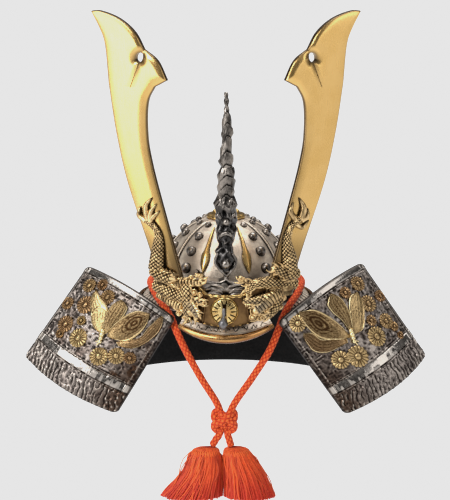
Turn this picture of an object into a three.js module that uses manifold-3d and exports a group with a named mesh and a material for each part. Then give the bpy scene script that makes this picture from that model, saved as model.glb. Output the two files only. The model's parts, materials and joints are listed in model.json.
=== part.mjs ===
// Desk-top kabuto ornament: a small cast-metal samurai helmet with horns, a dragon crest, turned-back side
// plates, a neck guard and a braided cord with two tassels.
// Units are millimetres, +Z is up, +X is the viewer's right and the front of the helmet faces -Y.
// The origin is the centre of the dome, inside the bowl, where the helmet sits on what carries it.

import * as THREE from "three";
import { mergeVertices } from "three/addons/utils/BufferGeometryUtils.js";
import Module from "manifold-3d";

const wasm = await Module();
wasm.setup();

// ---------------------------------------------------------------- driving dimensions

const GAP = 0.3;
const DEG = Math.PI / 180;

const BOWL = {
  halfWidth: 33,
  halfDepth: 35.5,
  height: 33,
  wall: 2,
  bottom: -8.8,
  flange: 4.6,
  flangeThick: 2.3,
};
const RIVET_ROWS_DEG = [38.5, 69.5, 100.5, 131.5, 162.5];
const RIVET_LATITUDE_DEG = { first: 5.7, step: 14.9, count: 5 };
const RIVET_RADIUS = { low: 2.3, high: 1.6 };
const RIVET_SIDES = 5;
const RIVET_SUNK = 0.8;
const RIBS_DEG = [54, 85, 116, 147, 180];
const RIB = { halfWidth: 0.9, rise: 0.35, sunk: 0.8, top: 70, bottom: 2 };
// The bowl's facets: every rivet and every rib lies in the middle of one.
const FACETS = {
  frontDeg: 15.4,
  firstDeg: 30.75,
  stepDeg: 15.5,
  levelsDeg: [72.75, 57.85, 42.95, 28.05, 13.15, 0],
};

const CROWN = { inner: 4, outer: 9.4, height: 2.6, petals: 10, scallop: 0.5 };
const SHINODARE = { azimuth: 20.5, thick: 1.3 };

const BASE = { radius: 47, thick: 2, halfAngle: 29, lip: 2.1, bottom: -12.6 };
const LIP_RADIUS = 0.9;
const HEM_RADIUS = 0.55;
const BOSS = { x: -0.8, z: -4.6, radius: 6.8, thick: 2.6, petals: 10 };
const SOCKET = { radius: 44.7, halfWidth: 12.5, bottom: -3, shoulder: 8.6, notch: 6.5, peak: 10.4 };
const TANG = { radius: 1.3, y: -41.5, top: 14, bottom: 4 };

const VISOR = {
  halfWidth: 22.3,
  innerRadius: 41,
  innerZ: -9.8,
  rimY: -51.5,
  rimZ: -17.4,
  sweepBack: 9.5,
  rise: 4.1,
};
const VISOR_THICK = 1.4;
const RIM_RADIUS = { middle: 2, end: 1.2 };

const BAND = {
  innerX: 38.1,
  innerY: 40.8,
  width: 3.8,
  top: -5.4,
  fall: 2.3,
  thick: 2,
  startDeg: 50,
  ribs: 29,
  ribDepth: 0.5,
};
const FLANGE_RING = { radius: 0.95, halfWidth: 43.6, halfDepth: 46.1, z: -8.7, startDeg: 54 };
const GUARD_WALL = 1.8;
const GUARD_START_DEG = 54;

const PLATE = {
  bulge: 5,
  barrel: 0.045,
  thick: 1.8,
  frame: 0.5,
  relief: 1.1,
  edge: 0.03,
  topBand: 0.05,
  bandTop: 0.72,
  bandBottom: 0.79,
  step: 0.008,
};
const FOLD = { top: 0.16, thick: 1.4 };

const HORN = { foot: [30, -38, 0], turnDeg: 27, leanDeg: 3, thick: 3.5, clearance: 0.45 };
const HORN_POCKET = { width: 14.5, height: 11, wall: 1.7, u: -5.2, v: 7.5 };
const HORN_EYE = { u: 8.4, v: 115.6, radius: 2.1 };

const CORD_RADIUS = 1.75;
const KNOT = { x: -0.8, y: -44, z: -60.4 };

// ---------------------------------------------------------------- tables

// Half profile of the neck guard, top to bottom: half axes of its oval at each level, a step at each lame.
const GUARD_LEVELS = [
  // halfWidth, halfDepth, z
  [44.4, 46.6, -10.2],
  [49.6, 48.6, -16.5],
  [50.6, 49.2, -16.9],
  [56.4, 51.2, -27.5],
  [57.4, 51.8, -27.9],
  [63.4, 53.8, -38.5],
  [64.4, 54.4, -38.9],
  [71.2, 56.4, -56],
  [72, 57, -57],
];

// Corners of the two turned-back plates: x, y, z.
const PLATE_CORNERS = {
  left: {
    innerTop: [-24.8, -41, -9.6],
    outerTop: [-68.2, -16, 10.5],
    innerBottom: [-53.6, -42, -57.2],
    outerBottom: [-99.9, -18, -34.8],
  },
  right: {
    innerTop: [25.4, -41, -11.4],
    outerTop: [66.8, -16, 12.2],
    innerBottom: [58.3, -43, -57.3],
    outerBottom: [99.5, -18, -34.5],
  },
};

// Flowers on the plates: across (0 at the fold, 1 at the outer edge), down, radius in mm.
const FLOWERS = {
  left: [
    [0.84, 0.15, 3.6],
    [0.77, 0.32, 4.6],
    [0.93, 0.38, 3.6],
    [0.82, 0.55, 4.4],
    [0.7, 0.45, 2.4],
    [0.64, 0.58, 4.7],
    [0.38, 0.62, 4.5],
    [0.24, 0.55, 4.2],
    [0.61, 0.16, 3.8],
  ],
  right: [
    [0.1, 0.14, 3.9],
    [0.24, 0.57, 4.4],
    [0.39, 0.63, 5.2],
    [0.65, 0.59, 4.6],
    [0.79, 0.33, 3.8],
    [0.81, 0.14, 3.4],
    [0.84, 0.5, 4.0],
    [0.71, 0.46, 2.5],
    [0.6, 0.15, 3.0],
  ],
};

// Wings of the butterflies: root and tip (across, down) and half width in mm.
const WINGS = {
  left: [
    [0.48, 0.45, 0.74, 0.17, 4.2],
    [0.47, 0.43, 0.47, 0.12, 4.0],
    [0.43, 0.44, 0.15, 0.12, 5.2],
    [0.42, 0.48, 0.07, 0.22, 4.2],
  ],
  right: [
    [0.47, 0.45, 0.72, 0.2, 3.8],
    [0.46, 0.43, 0.53, 0.12, 3.8],
    [0.42, 0.44, 0.22, 0.14, 5.2],
    [0.4, 0.48, 0.12, 0.38, 3.8],
  ],
};

// Outline of a horn's blade in its own plane: u outward, v up.
const HORN_OUTER_EDGE = [
  [0.5, 4],
  [6, 22.9],
  [17.5, 57.3],
  [22.3, 80.2],
  [25.6, 104.5],
  [26.8, 123],
  [29.2, 129.2],
  [33.2, 136.6],
];
const HORN_HEAD = [
  [29.6, 136.8],
  [18.8, 133.5],
  [10.6, 127.3],
  [6, 119.5],
];
const HORN_BROW = [
  [6, 119.5],
  [-0.8, 114.6],
  [-5.6, 105.4],
];
const HORN_THROAT = [
  [-5.6, 105.4],
  [1, 102],
  [4.7, 95.4],
  [5.8, 78],
  [3.9, 65.3],
  [-4.3, 33.9],
  [-12.6, 4],
];

// The dragon crest from its tip down: z, centre x, half width, centre y.
const CREST_LEVELS = [
  [99.6, 0, 0.3, -43.2],
  [92, 0.3, 0.95, -42.8],
  [85.4, 0.4, 2.2, -42.2],
  [79.7, 0.6, 2.7, -41.8],
  [77.4, 0.4, 2.2, -41.6],
  [72.1, 0.1, 2.7, -41.2],
  [66.4, 0, 3.3, -40.9],
  [64, 0.3, 2.9, -40.8],
  [61.2, 0.2, 4, -40.8],
  [53, 0, 3.8, -40.9],
  [50.4, -0.2, 3.6, -41],
  [46.6, 0, 5.4, -41.2],
  [42, 0, 5.2, -41.4],
  [36.2, 0.1, 4.6, -41.7],
  [33.6, 0.1, 5, -41.9],
  [27.5, -0.2, 3.8, -42.3],
  [24.2, -0.5, 4.2, -42.6],
  [19, -0.1, 5.3, -43],
  [14.6, 0.2, 3.6, -43.4],
  [11.4, 0.4, 0.9, -43.6],
];

// Round knobs on the crest: x, y, z, radius.
const CREST_KNOBS = [
  [0.4, -47.4, 19.4, 2.6],
  [-2.2, -46.6, 31.6, 1.9],
  [2.3, -46.6, 31.2, 1.9],
  [0, -46.6, 39.6, 2.4],
  [0.2, -45.6, 47.4, 1.8],
];

// Raised leaf on the face of the crest socket, on the right: x, y, z, radius.
const SOCKET_LEAF = [
  [1.5, -44, 2.5, 0.5],
  [5, -43.9, 6, 1],
  [10, -43, 4, 0.5],
];

// Limbs of the dragons on the horns: u, v, lift above the horn's face, radius.
const DRAGON_ARMS = {
  left: [
    [[10, 43.5, 0.8, 0.6], [10.4, 40.5, 1.2, 0.9], [6.6, 37.8, 1.2, 1.1]],
    [[3.6, 48.5, 0.6, 0.5], [6.5, 45.3, 1.2, 0.9], [5.6, 38.2, 1.3, 1.2]],
    [[1.5, 45.5, 0.7, 0.5], [3.6, 42.8, 1.2, 0.9], [4.6, 38.6, 1.3, 1.1]],
    [[0, 42.5, 0.6, 0.5], [2.5, 40.3, 1.1, 0.9], [4.6, 37.6, 1.2, 1.1]],
    [
      [6.2, 38.6, 1, 1.8],
      [2.5, 35.4, 0.9, 1.4],
      [0.4, 32.5, 1, 1.6],
      [0, 28, 1.2, 2.5],
      [1, 20, 1.6, 3.6],
      [1.5, 15, 1.8, 4],
    ],
    [[6.2, 13.6, 1, 3], [0, 12.4, 2.2, 4.6], [-7.6, 10.8, 2.4, 4]],
  ],
  right: [
    [[3, 48.5, 0.6, 0.5], [5, 44.5, 1.3, 1.2], [3.6, 38.6, 1.2, 1.3]],
    [[-0.5, 46.6, 0.6, 0.5], [-2, 43.4, 1.2, 1], [1, 38.6, 1.2, 1.2]],
    [[7.6, 43, 0.6, 0.5], [7.3, 40, 1.1, 0.8], [4, 38, 1.1, 1]],
    [[7.8, 37.4, 0.6, 0.5], [4.6, 34.8, 1.1, 0.8], [1.4, 36.8, 1.1, 1]],
    [
      [3, 39.4, 1.1, 1.8],
      [-1.5, 35.4, 0.9, 1.4],
      [-3.4, 30.5, 1, 1.9],
      [-3, 25, 1.3, 3],
      [-2, 20, 1.6, 3.8],
      [-1.5, 14, 1.8, 4],
    ],
    [[4.6, 12.4, 1.2, 3.2], [-3, 13.2, 2, 4.2], [-10.6, 16.4, 1.8, 1.8]],
  ],
};

// Limbs of the dragons round the crest base: distance from the middle x, z, lift above the base, radius.
const DRAGON_BODIES = {
  left: [
    [[31.5, 5.5, 0.8, 4], [26, 3.4, 1.5, 4.4], [19, 2, 1.6, 3.8]],
    [
      [24, 8.5, 1.5, 3],
      [17, 9.4, 1.9, 2.1],
      [11.8, 9.4, 1.7, 1.6],
      [11, 12, 1.5, 1.5],
      [13, 13.6, 1.4, 1.2],
    ],
    [[19, 8, 1.5, 3.2], [18.5, 3, 1.8, 3.3], [18.4, -2, 1.5, 2.8], [18.4, -10.4, 1, 1.3]],
    [[18, 0, 1.8, 2.6], [15.4, -4, 2, 2.1], [13.4, -7.6, 1.4, 1.3]],
    [[17, 1.4, 1.5, 1.7], [13, 0.2, 1.4, 1.3], [10.4, -0.2, 1.6, 1.8]],
    [[33, 0.6, 0.6, 1.4], [27.6, -0.8, 1.2, 2.2], [21, -3.4, 1.4, 2.6]],
  ],
  right: [
    [
      [31, 6.4, 0.8, 3.6],
      [25, 8.4, 1.5, 3.6],
      [18, 9, 1.9, 2.9],
      [12.4, 8, 1.7, 2.1],
      [9.4, 4.4, 1.4, 1.5],
    ],
    [[16, 8.6, 1.6, 1.9], [9.4, 9.6, 1.6, 1.4], [6.8, 11.6, 1.5, 1.1]],
    [[8.4, 0.8, 1.1, 1.3], [12.6, 0.4, 1.8, 2], [18, 1, 2, 3]],
    [[26, 4, 1.2, 3], [21.4, 1.4, 2.2, 4.2], [17.4, -2, 2, 3], [14, -4.4, 1.8, 2.7]],
    [[24, 6, 1.4, 3], [24.6, -1, 1.4, 3], [20.4, -7.4, 1.3, 1.7], [14.8, -8, 1.1, 1.3]],
  ],
};

// Route of the cord: x, y, z. It starts at the left of the knot, passes the left plate's corner,
// goes round the foot of the bowl at the back and comes down on the right.
const CORD_ROUTE = [
  [-3.6, -44, -53.2],
  [-12.1, -43.2, -38.8],
  [-19.6, -41.2, -25.4],
  [-24.4, -37.6, -15.8],
  [-26.7, -34.4, -10.9],
  [-30.4, -30.8, -5.9],
  [-33.6, -24.4, -3.2],
  [-36.6, -15.6, 0],
  [-37.6, -2, 0.2],
  [-34.8, 14, -1],
  [-26.6, 27.6, -2.4],
  [-14, 36.4, -3.2],
  [0, 39, -3.4],
  [14, 36.4, -3.2],
  [26.6, 27.6, -2.4],
  [34.8, 14, -1],
  [37.6, -2, 0.2],
  [36.8, -15.6, 0],
  [33.8, -24.6, -3.2],
  [30.6, -30.8, -6],
  [27.4, -34.4, -11.4],
  [25.4, -37.2, -16.4],
  [20.9, -41, -26],
  [12.7, -43, -38.8],
  [3.4, -44, -52.8],
];

// The two short ends below the knot: x, y, z.
const TAIL_ROUTES = {
  left: [[-3.2, -44, -67], [-4.9, -44, -69.6], [-6.5, -44, -72.4]],
  right: [[0.8, -44, -66.8], [1.6, -44, -69.8], [2.4, -44, -72.8]],
};

// Sections of the tassels from the head down: z, left edge, right edge, half depth.
const TASSEL_LEVELS = {
  left: [
    [-73.6, -12, -5, 2.2],
    [-74.8, -16, -3.4, 4.8],
    [-79, -18.8, -2.3, 6.6],
    [-86, -21.8, -2.2, 7.5],
    [-92.5, -26.4, -2.4, 8.6],
    [-98.4, -31.2, -2.6, 9.6],
  ],
  right: [
    [-73.6, 1, 7.6, 2.2],
    [-74.8, -1, 11, 4.8],
    [-79, -1.6, 13.8, 6.6],
    [-86, -1.6, 18.9, 7.5],
    [-92.5, -1.4, 21.8, 8.6],
    [-98.4, -1.2, 24, 9.6],
  ],
};

const FINISHES = {
  silver: { color: 0x8d8880, roughness: 0.42, metalness: 1 },
  darkSilver: { color: 0x5c5a58, roughness: 0.4, metalness: 1 },
  gunmetal: { color: 0x3c3c3e, roughness: 0.3, metalness: 1 },
  satinGold: { color: 0xd8ac58, roughness: 0.35, metalness: 1 },
  polishedGold: { color: 0xe0b060, roughness: 0.2, metalness: 1 },
  brass: { color: 0xa8854a, roughness: 0.4, metalness: 1 },
  copper: { color: 0xc08850, roughness: 0.3, metalness: 1 },
  guard: { color: 0x4a4846, roughness: 0.5, metalness: 0.8 },
  lead: { color: 0x7c8088, roughness: 0.5, metalness: 0.8 },
  orangeBraid: { color: 0xe85a1e, roughness: 0.8, metalness: 0 },
  tasselThread: { color: 0xdf4720, roughness: 0.85, metalness: 0 },
};

// ---------------------------------------------------------------- solids and joining

/** A closed geometry from points and triangles, with its faces turned outward. */
function closedGeometry(points, triangles) {
  let volume = 0;
  for (const [a, b, c] of triangles) {
    volume += points[a].dot(new THREE.Vector3().crossVectors(points[b], points[c]));
  }
  const order = volume < 0 ? ([a, b, c]) => [a, c, b] : (corners) => corners;
  const geometry = new THREE.BufferGeometry();
  const flat = points.flatMap((p) => [p.x, p.y, p.z]);
  geometry.setAttribute("position", new THREE.Float32BufferAttribute(flat, 3));
  geometry.setIndex(triangles.flatMap(order));
  return geometry;
}

/** A manifold solid of a closed geometry. */
function solidOf(geometry) {
  const bare = geometry.clone();
  bare.deleteAttribute("normal");
  bare.deleteAttribute("uv");
  const merged = mergeVertices(bare, 1e-4);
  const corners = [];
  const index = merged.index.array;
  for (let i = 0; i < index.length; i += 3) {
    const [a, b, c] = [index[i], index[i + 1], index[i + 2]];
    if (a !== b && b !== c && c !== a) {
      corners.push(a, b, c);
    }
  }
  const vertProperties = new Float32Array(merged.attributes.position.array);
  const triVerts = new Uint32Array(corners);
  return new wasm.Manifold(new wasm.Mesh({ numProp: 3, vertProperties, triVerts }));
}

/** The three.js geometry of a manifold solid. */
function geometryOf(solid) {
  const mesh = solid.getMesh();
  const geometry = new THREE.BufferGeometry();
  const points = new Float32Array(mesh.vertProperties);
  geometry.setAttribute("position", new THREE.BufferAttribute(points, 3));
  geometry.setIndex(new THREE.BufferAttribute(new Uint32Array(mesh.triVerts), 1));
  return geometry;
}

/** One solid of several overlapping geometries. */
function joined(geometries) {
  return geometries.map(solidOf).reduce((sum, next) => sum.add(next));
}

/** The largest body of a solid, without the crumbs that a cut can leave. */
function largestBody(solid) {
  return solid.decompose().reduce((best, body) => (body.volume() > best.volume() ? body : best));
}

/** A geometry mirrored in the plane x = 0. */
function mirrored(geometry) {
  const copy = geometryOf(solidOf(geometry)).applyMatrix4(new THREE.Matrix4().makeScale(-1, 1, 1));
  const index = copy.index.array;
  for (let i = 0; i < index.length; i += 3) {
    [index[i + 1], index[i + 2]] = [index[i + 2], index[i + 1]];
  }
  return copy;
}

// ---------------------------------------------------------------- shape helpers

/** A closed solid between a front and a back surface over the same grid; a ring closes on itself across. */
function sheet(front, back, across, down, ring = false) {
  const columns = ring ? across : across + 1;
  const points = [];
  for (const side of [front, back]) {
    for (let j = 0; j <= down; j++) {
      for (let i = 0; i < columns; i++) {
        points.push(side(i / across, j / down, i, j));
      }
    }
  }
  const half = columns * (down + 1);
  const at = (side, i, j) => side * half + j * columns + (i % columns);
  const triangles = [];
  const quad = (a, b, c, d) => triangles.push([a, b, c], [a, c, d]);
  for (let i = 0; i < across; i++) {
    for (let j = 0; j < down; j++) {
      quad(at(0, i, j), at(0, i + 1, j), at(0, i + 1, j + 1), at(0, i, j + 1));
      quad(at(1, i, j), at(1, i, j + 1), at(1, i + 1, j + 1), at(1, i + 1, j));
    }
    quad(at(0, i, 0), at(1, i, 0), at(1, i + 1, 0), at(0, i + 1, 0));
    quad(at(0, i, down), at(0, i + 1, down), at(1, i + 1, down), at(1, i, down));
  }
  for (let j = 0; j < down && !ring; j++) {
    quad(at(0, 0, j), at(0, 0, j + 1), at(1, 0, j + 1), at(1, 0, j));
    quad(at(0, across, j), at(1, across, j), at(1, across, j + 1), at(0, across, j + 1));
  }
  return closedGeometry(points, triangles);
}

/** A closed solid through rings of points, with a fan to a middle point at each end. */
function loft(rings, firstTip, lastTip) {
  const sides = rings[0].length;
  const points = rings.flat();
  const triangles = [];
  for (let k = 0; k + 1 < rings.length; k++) {
    for (let j = 0; j < sides; j++) {
      const [a, b] = [k * sides + j, k * sides + ((j + 1) % sides)];
      triangles.push([a, b, b + sides], [a, b + sides, a + sides]);
    }
  }
  const last = (rings.length - 1) * sides;
  points.push(firstTip, lastTip);
  for (let j = 0; j < sides; j++) {
    const next = (j + 1) % sides;
    triangles.push([points.length - 2, next, j], [points.length - 1, last + j, last + next]);
  }
  return closedGeometry(points, triangles);
}

/** A round limb through rows of x, y, z and radius, with blunt ends. */
function limb(rows, sides = 4, stepsPerSpan = 1) {
  const path = new THREE.CatmullRomCurve3(rows.map(([x, y, z]) => new THREE.Vector3(x, y, z)));
  const steps = (rows.length - 1) * stepsPerSpan;
  const rings = [];
  const normal = new THREE.Vector3(0.31, 0.52, 0.79);
  for (let k = 0; k <= steps; k++) {
    const place = k / stepsPerSpan;
    const row = Math.min(Math.floor(place), rows.length - 2);
    const radius = THREE.MathUtils.lerp(rows[row][3], rows[row + 1][3], place - row);
    const tangent = path.getTangent(k / steps);
    normal.addScaledVector(tangent, -normal.dot(tangent)).normalize();
    const side = new THREE.Vector3().crossVectors(tangent, normal);
    const centre = path.getPoint(k / steps);
    rings.push(
      Array.from({ length: sides }, (_, j) => {
        const angle = (2 * Math.PI * j) / sides;
        const offset = normal.clone().multiplyScalar(Math.cos(angle));
        offset.addScaledVector(side, Math.sin(angle));
        return centre.clone().addScaledVector(offset, radius);
      }),
    );
  }
  const [first, last] = [rows[0][3], rows[rows.length - 1][3]];
  const firstTip = path.getPoint(0).addScaledVector(path.getTangent(0), -0.6 * first);
  const lastTip = path.getPoint(1).addScaledVector(path.getTangent(1), 0.6 * last);
  return loft(rings, firstTip, lastTip);
}

/** A ball of few faces. */
function ball(x, y, z, radius, sides = 6, levels = 3) {
  return new THREE.SphereGeometry(radius, sides, levels).translate(x, y, z);
}

/** A point at an azimuth from the front (towards +X) on an oval of the given half axes. */
function onOval(azimuth, halfWidth, halfDepth, z) {
  return new THREE.Vector3(halfWidth * Math.sin(azimuth), -halfDepth * Math.cos(azimuth), z);
}

/** Adds one named mesh to the helmet. */
function addPiece(name, geometry, finish) {
  const mesh = new THREE.Mesh(geometry, new THREE.MeshStandardMaterial(FINISHES[finish]));
  mesh.name = name;
  helmet.add(mesh);
}

// ---------------------------------------------------------------- bowl and what lies on it

/** A point above the outside of the dome: azimuth from the front and latitude in degrees, lift in mm. */
function onDome(azimuthDeg, latitudeDeg, lift) {
  const level = Math.cos(latitudeDeg * DEG);
  const height = (BOWL.height + lift) * Math.sin(latitudeDeg * DEG);
  return onOval(azimuthDeg * DEG, (BOWL.halfWidth + lift) * level, (BOWL.halfDepth + lift) * level, height);
}

/** Azimuths in degrees of the bowl's upright edges, from the front round to the front again. */
function facetEdges() {
  const { frontDeg, firstDeg, stepDeg } = FACETS;
  const half = [frontDeg];
  for (let edge = firstDeg; edge < 180 - stepDeg / 2; edge += stepDeg) {
    half.push(edge);
  }
  return [0, ...half, ...half.map((edge) => 360 - edge).reverse()];
}

function bowlShell() {
  const { halfWidth, halfDepth, height, wall, bottom, flange, flangeThick } = BOWL;
  const dome = (radius, top, levels) =>
    levels.map((level) => [radius * Math.cos(level * DEG), top * Math.sin(level * DEG)]);
  const profile = [
    ...dome(halfWidth, height, FACETS.levelsDeg),
    [halfWidth, bottom + flangeThick],
    [halfWidth + flange, bottom + flangeThick],
    [halfWidth + flange, bottom],
    [halfWidth - wall, bottom],
    ...dome(halfWidth - wall, height - wall, [0, 30, 60]),
  ];
  const stretch = halfDepth / halfWidth;
  const rings = profile.map(([r, z]) => facetEdges().map((edge) => onOval(edge * DEG, r, r * stretch, z)));
  return loft(rings, new THREE.Vector3(0, 0, height), new THREE.Vector3(0, 0, height - wall));
}

/** A rivet head: a low five-sided point that stands in the wall. */
function rivet(azimuthDeg, latitudeDeg, radius) {
  const outward = onDome(azimuthDeg, latitudeDeg, 1);
  outward.sub(onDome(azimuthDeg, latitudeDeg, 0)).normalize();
  const sideways = new THREE.Vector3(0, 0, 1).cross(outward).normalize();
  const upward = outward.clone().cross(sideways);
  const foot = onDome(azimuthDeg, latitudeDeg, -RIVET_SUNK);
  const ring = Array.from({ length: RIVET_SIDES }, (_, k) => {
    const angle = (2 * Math.PI * k) / RIVET_SIDES;
    const point = foot.clone().addScaledVector(sideways, radius * Math.cos(angle));
    return point.addScaledVector(upward, radius * Math.sin(angle));
  });
  return loft([ring], foot, onDome(azimuthDeg, latitudeDeg, 0.8 * radius));
}

/** A raised line down the bowl, three-sided, with its two lower edges sunk in the wall. */
function rib(azimuthDeg) {
  const latitudes = [RIB.top, ...FACETS.levelsDeg.slice(1, -1), RIB.bottom];
  const rings = latitudes.map((latitude) => {
    const turn = RIB.halfWidth / (BOWL.halfWidth * Math.cos(latitude * DEG)) / DEG;
    return [
      onDome(azimuthDeg - turn, latitude, -RIB.sunk),
      onDome(azimuthDeg, latitude, RIB.rise),
      onDome(azimuthDeg + turn, latitude, -RIB.sunk),
    ];
  });
  const inWall = (latitude) => onDome(azimuthDeg, latitude, -0.5 * RIB.sunk);
  return loft(rings, inWall(RIB.top), inWall(RIB.bottom));
}

function makeBowl() {
  const parts = [bowlShell()];
  for (const side of [-1, 1]) {
    for (const azimuth of RIVET_ROWS_DEG) {
      for (let k = 0; k < RIVET_LATITUDE_DEG.count; k++) {
        const share = k / (RIVET_LATITUDE_DEG.count - 1);
        const radius = THREE.MathUtils.lerp(RIVET_RADIUS.low, RIVET_RADIUS.high, share);
        const latitude = RIVET_LATITUDE_DEG.first + k * RIVET_LATITUDE_DEG.step;
        parts.push(rivet(side * azimuth, latitude, radius));
      }
    }
    for (const azimuth of RIBS_DEG.filter((angle) => side > 0 || angle < 180)) {
      parts.push(rib(side * azimuth));
    }
  }
  addPiece("bowl", geometryOf(joined(parts)), "silver");
}

/** Low ring of petals on the top of the dome; its section runs round from the inside of its foot. */
function makeCrownRing() {
  const { inner, outer, height, petals, scallop } = CROWN;
  const section = [
    [inner, 2 * GAP],
    [outer, 2 * GAP],
    [outer + 0.3, GAP + 0.5 * height],
    [0.5 * (inner + outer), GAP + height],
    [inner, GAP + 0.7 * height],
  ];
  const count = 2 * petals;
  const ringAt = (i) => {
    const azimuth = (2 * Math.PI * i) / count;
    const swell = i % 2 ? -scallop : scallop;
    return section.map(([radius, lift], k) => {
      const reach = radius + (k === 1 || k === 2 ? swell : 0);
      const level = Math.sqrt(1 - (reach / BOWL.halfWidth) ** 2);
      return onOval(azimuth, reach, reach, BOWL.height * level + lift);
    });
  };
  const rings = Array.from({ length: count }, (_, i) => ringAt(i));
  const points = rings.flat();
  const triangles = [];
  const size = section.length;
  for (let i = 0; i < count; i++) {
    for (let k = 0; k < size; k++) {
      const [a, b] = [i * size + k, i * size + ((k + 1) % size)];
      const [c, d] = [((i + 1) % count) * size + ((k + 1) % size), ((i + 1) % count) * size + k];
      triangles.push([a, b, c], [a, c, d]);
    }
  }
  addPiece("crown_ring", closedGeometry(points, triangles), "polishedGold");
}

// Half width in mm of an arrow strip at each latitude, from its tip down.
const SHINODARE_WIDTHS = [
  [62, 0.3],
  [54, 0.65],
  [46, 0.9],
  [40, 1.15],
  [36, 1.7],
  [32.5, 2.3],
  [27, 1.8],
  [22, 1],
  [18, 0.25],
];

function makeShinodare(name, side) {
  const rows = SHINODARE_WIDTHS.length - 1;
  const strip = (lift, crown) => (s, _t, _i, j) => {
    const [latitude, half] = SHINODARE_WIDTHS[j];
    const across = 2 * s - 1;
    const turn = (across * half) / (BOWL.halfWidth * Math.cos(latitude * DEG)) / DEG;
    return onDome(side * (SHINODARE.azimuth + turn), latitude, lift + crown * (1 - across * across));
  };
  const geometry = sheet(strip(GAP + 0.6, SHINODARE.thick - 0.6), strip(GAP + 0.1, 0), 2, rows);
  addPiece(name, geometry, "polishedGold");
}

// ---------------------------------------------------------------- crest base, socket and boss

/** Upper edge of the crest base at x from the middle: the U of the lip, then up behind the dragons. */
function baseTop(x) {
  return Math.min(8.5, BASE.lip + 0.085 * Math.max(0, Math.abs(x) - 6) ** 2);
}

/** Lower edge of the crest base, higher towards the sides. */
function baseBottom(x) {
  return BASE.bottom + 0.0104 * x * x;
}

/** The curved wall of the crest base, grown on all sides by a clearance when it serves as a cutter. */
function baseWall(grow) {
  const angleLimit = BASE.halfAngle * DEG + grow / BASE.radius;
  const face = (radius) => (s, t) => {
    const azimuth = (2 * s - 1) * angleLimit;
    const x = radius * Math.sin(azimuth);
    const z = THREE.MathUtils.lerp(baseTop(x) + 2 * grow, baseBottom(x) - grow, t);
    return onOval(azimuth, radius, radius, z);
  };
  return sheet(face(BASE.radius + grow), face(BASE.radius - BASE.thick - grow), 12, 1);
}

/** A roll along an edge of the crest base. */
function baseRoll(edge, halfSpan, radius) {
  const rows = Array.from({ length: 9 }, (_, k) => {
    const x = halfSpan * (k / 4 - 1);
    return [x, -Math.sqrt((BASE.radius - LIP_RADIUS) ** 2 - x * x), edge(x), radius];
  });
  return limb(rows, 4, 1);
}

/** The roll under the lip, across the middle of the upper edge; a clearance makes it a cutter. */
function lipRoll(grow) {
  return baseRoll(baseTop, 13 + grow, LIP_RADIUS + grow);
}

/** The thin roll along the lower edge; a clearance makes it a cutter. */
function hemRoll(grow) {
  return baseRoll((x) => baseBottom(x) + 0.4, 19 + grow, HEM_RADIUS + grow);
}

function makeCrestBase() {
  const hornCutter = hornBlade(HORN.clearance);
  const whole = joined([baseWall(0), lipRoll(0), hemRoll(0)]);
  const clear = whole.subtract(solidOf(hornCutter)).subtract(solidOf(mirrored(hornCutter)));
  addPiece("crest_base", geometryOf(largestBody(clear)), "brass");
}

/** Front outline of the crest socket: its top edge is a brace, with a point in the middle and two bulges. */
function socketOutline() {
  const { halfWidth, bottom, shoulder, notch, peak } = SOCKET;
  const shape = new THREE.Shape();
  shape.moveTo(-halfWidth, bottom);
  shape.lineTo(halfWidth, bottom);
  shape.lineTo(halfWidth, shoulder);
  shape.quadraticCurveTo(0.5 * (halfWidth + notch), shoulder + 1, notch, shoulder);
  shape.quadraticCurveTo(0.4 * notch, shoulder - 0.4, 0, peak);
  shape.quadraticCurveTo(-0.4 * notch, shoulder - 0.4, -notch, shoulder);
  shape.quadraticCurveTo(-0.5 * (halfWidth + notch), shoulder + 1, -halfWidth, shoulder);
  return shape;
}

function makeCrestSocket() {
  const depth = 24;
  const skirtDepth = 12;
  const boreDepth = 20;
  const block = new THREE.ExtrudeGeometry(socketOutline(), { depth, bevelEnabled: false, curveSegments: 3 });
  block.rotateX(Math.PI / 2).translate(0, -depth, 0);
  const drum = new THREE.CylinderGeometry(SOCKET.radius, SOCKET.radius, 60, 32).rotateX(Math.PI / 2);
  const clearRadius = BOWL.halfWidth + 1.8 * GAP;
  const stretch = (BOWL.halfDepth + 1.8 * GAP) / clearRadius;
  const dome = new THREE.SphereGeometry(clearRadius, 22, 11).scale(1, stretch, 1);
  const skirt = new THREE.CylinderGeometry(clearRadius, clearRadius, skirtDepth, 22).rotateX(Math.PI / 2);
  skirt.scale(1, stretch, 1).translate(0, 0, -0.5 * skirtDepth);
  const boreRadius = TANG.radius + 1.1 * GAP;
  const bore = new THREE.CylinderGeometry(boreRadius, boreRadius, boreDepth, 8).rotateX(Math.PI / 2);
  bore.translate(0, TANG.y, TANG.bottom + 0.5 * boreDepth - GAP);
  const leaves = [-1, 1].map((side) => limb(SOCKET_LEAF.map(([x, ...row]) => [side * x, ...row]), 4, 2));
  const body = solidOf(block).intersect(solidOf(drum)).add(joined(leaves));
  const cutters = [dome, skirt, bore, baseWall(GAP), lipRoll(GAP)];
  const clear = cutters.reduce((solid, cutter) => solid.subtract(solidOf(cutter)), body);
  addPiece("crest_socket", geometryOf(largestBody(clear)), "darkSilver");
}

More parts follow.
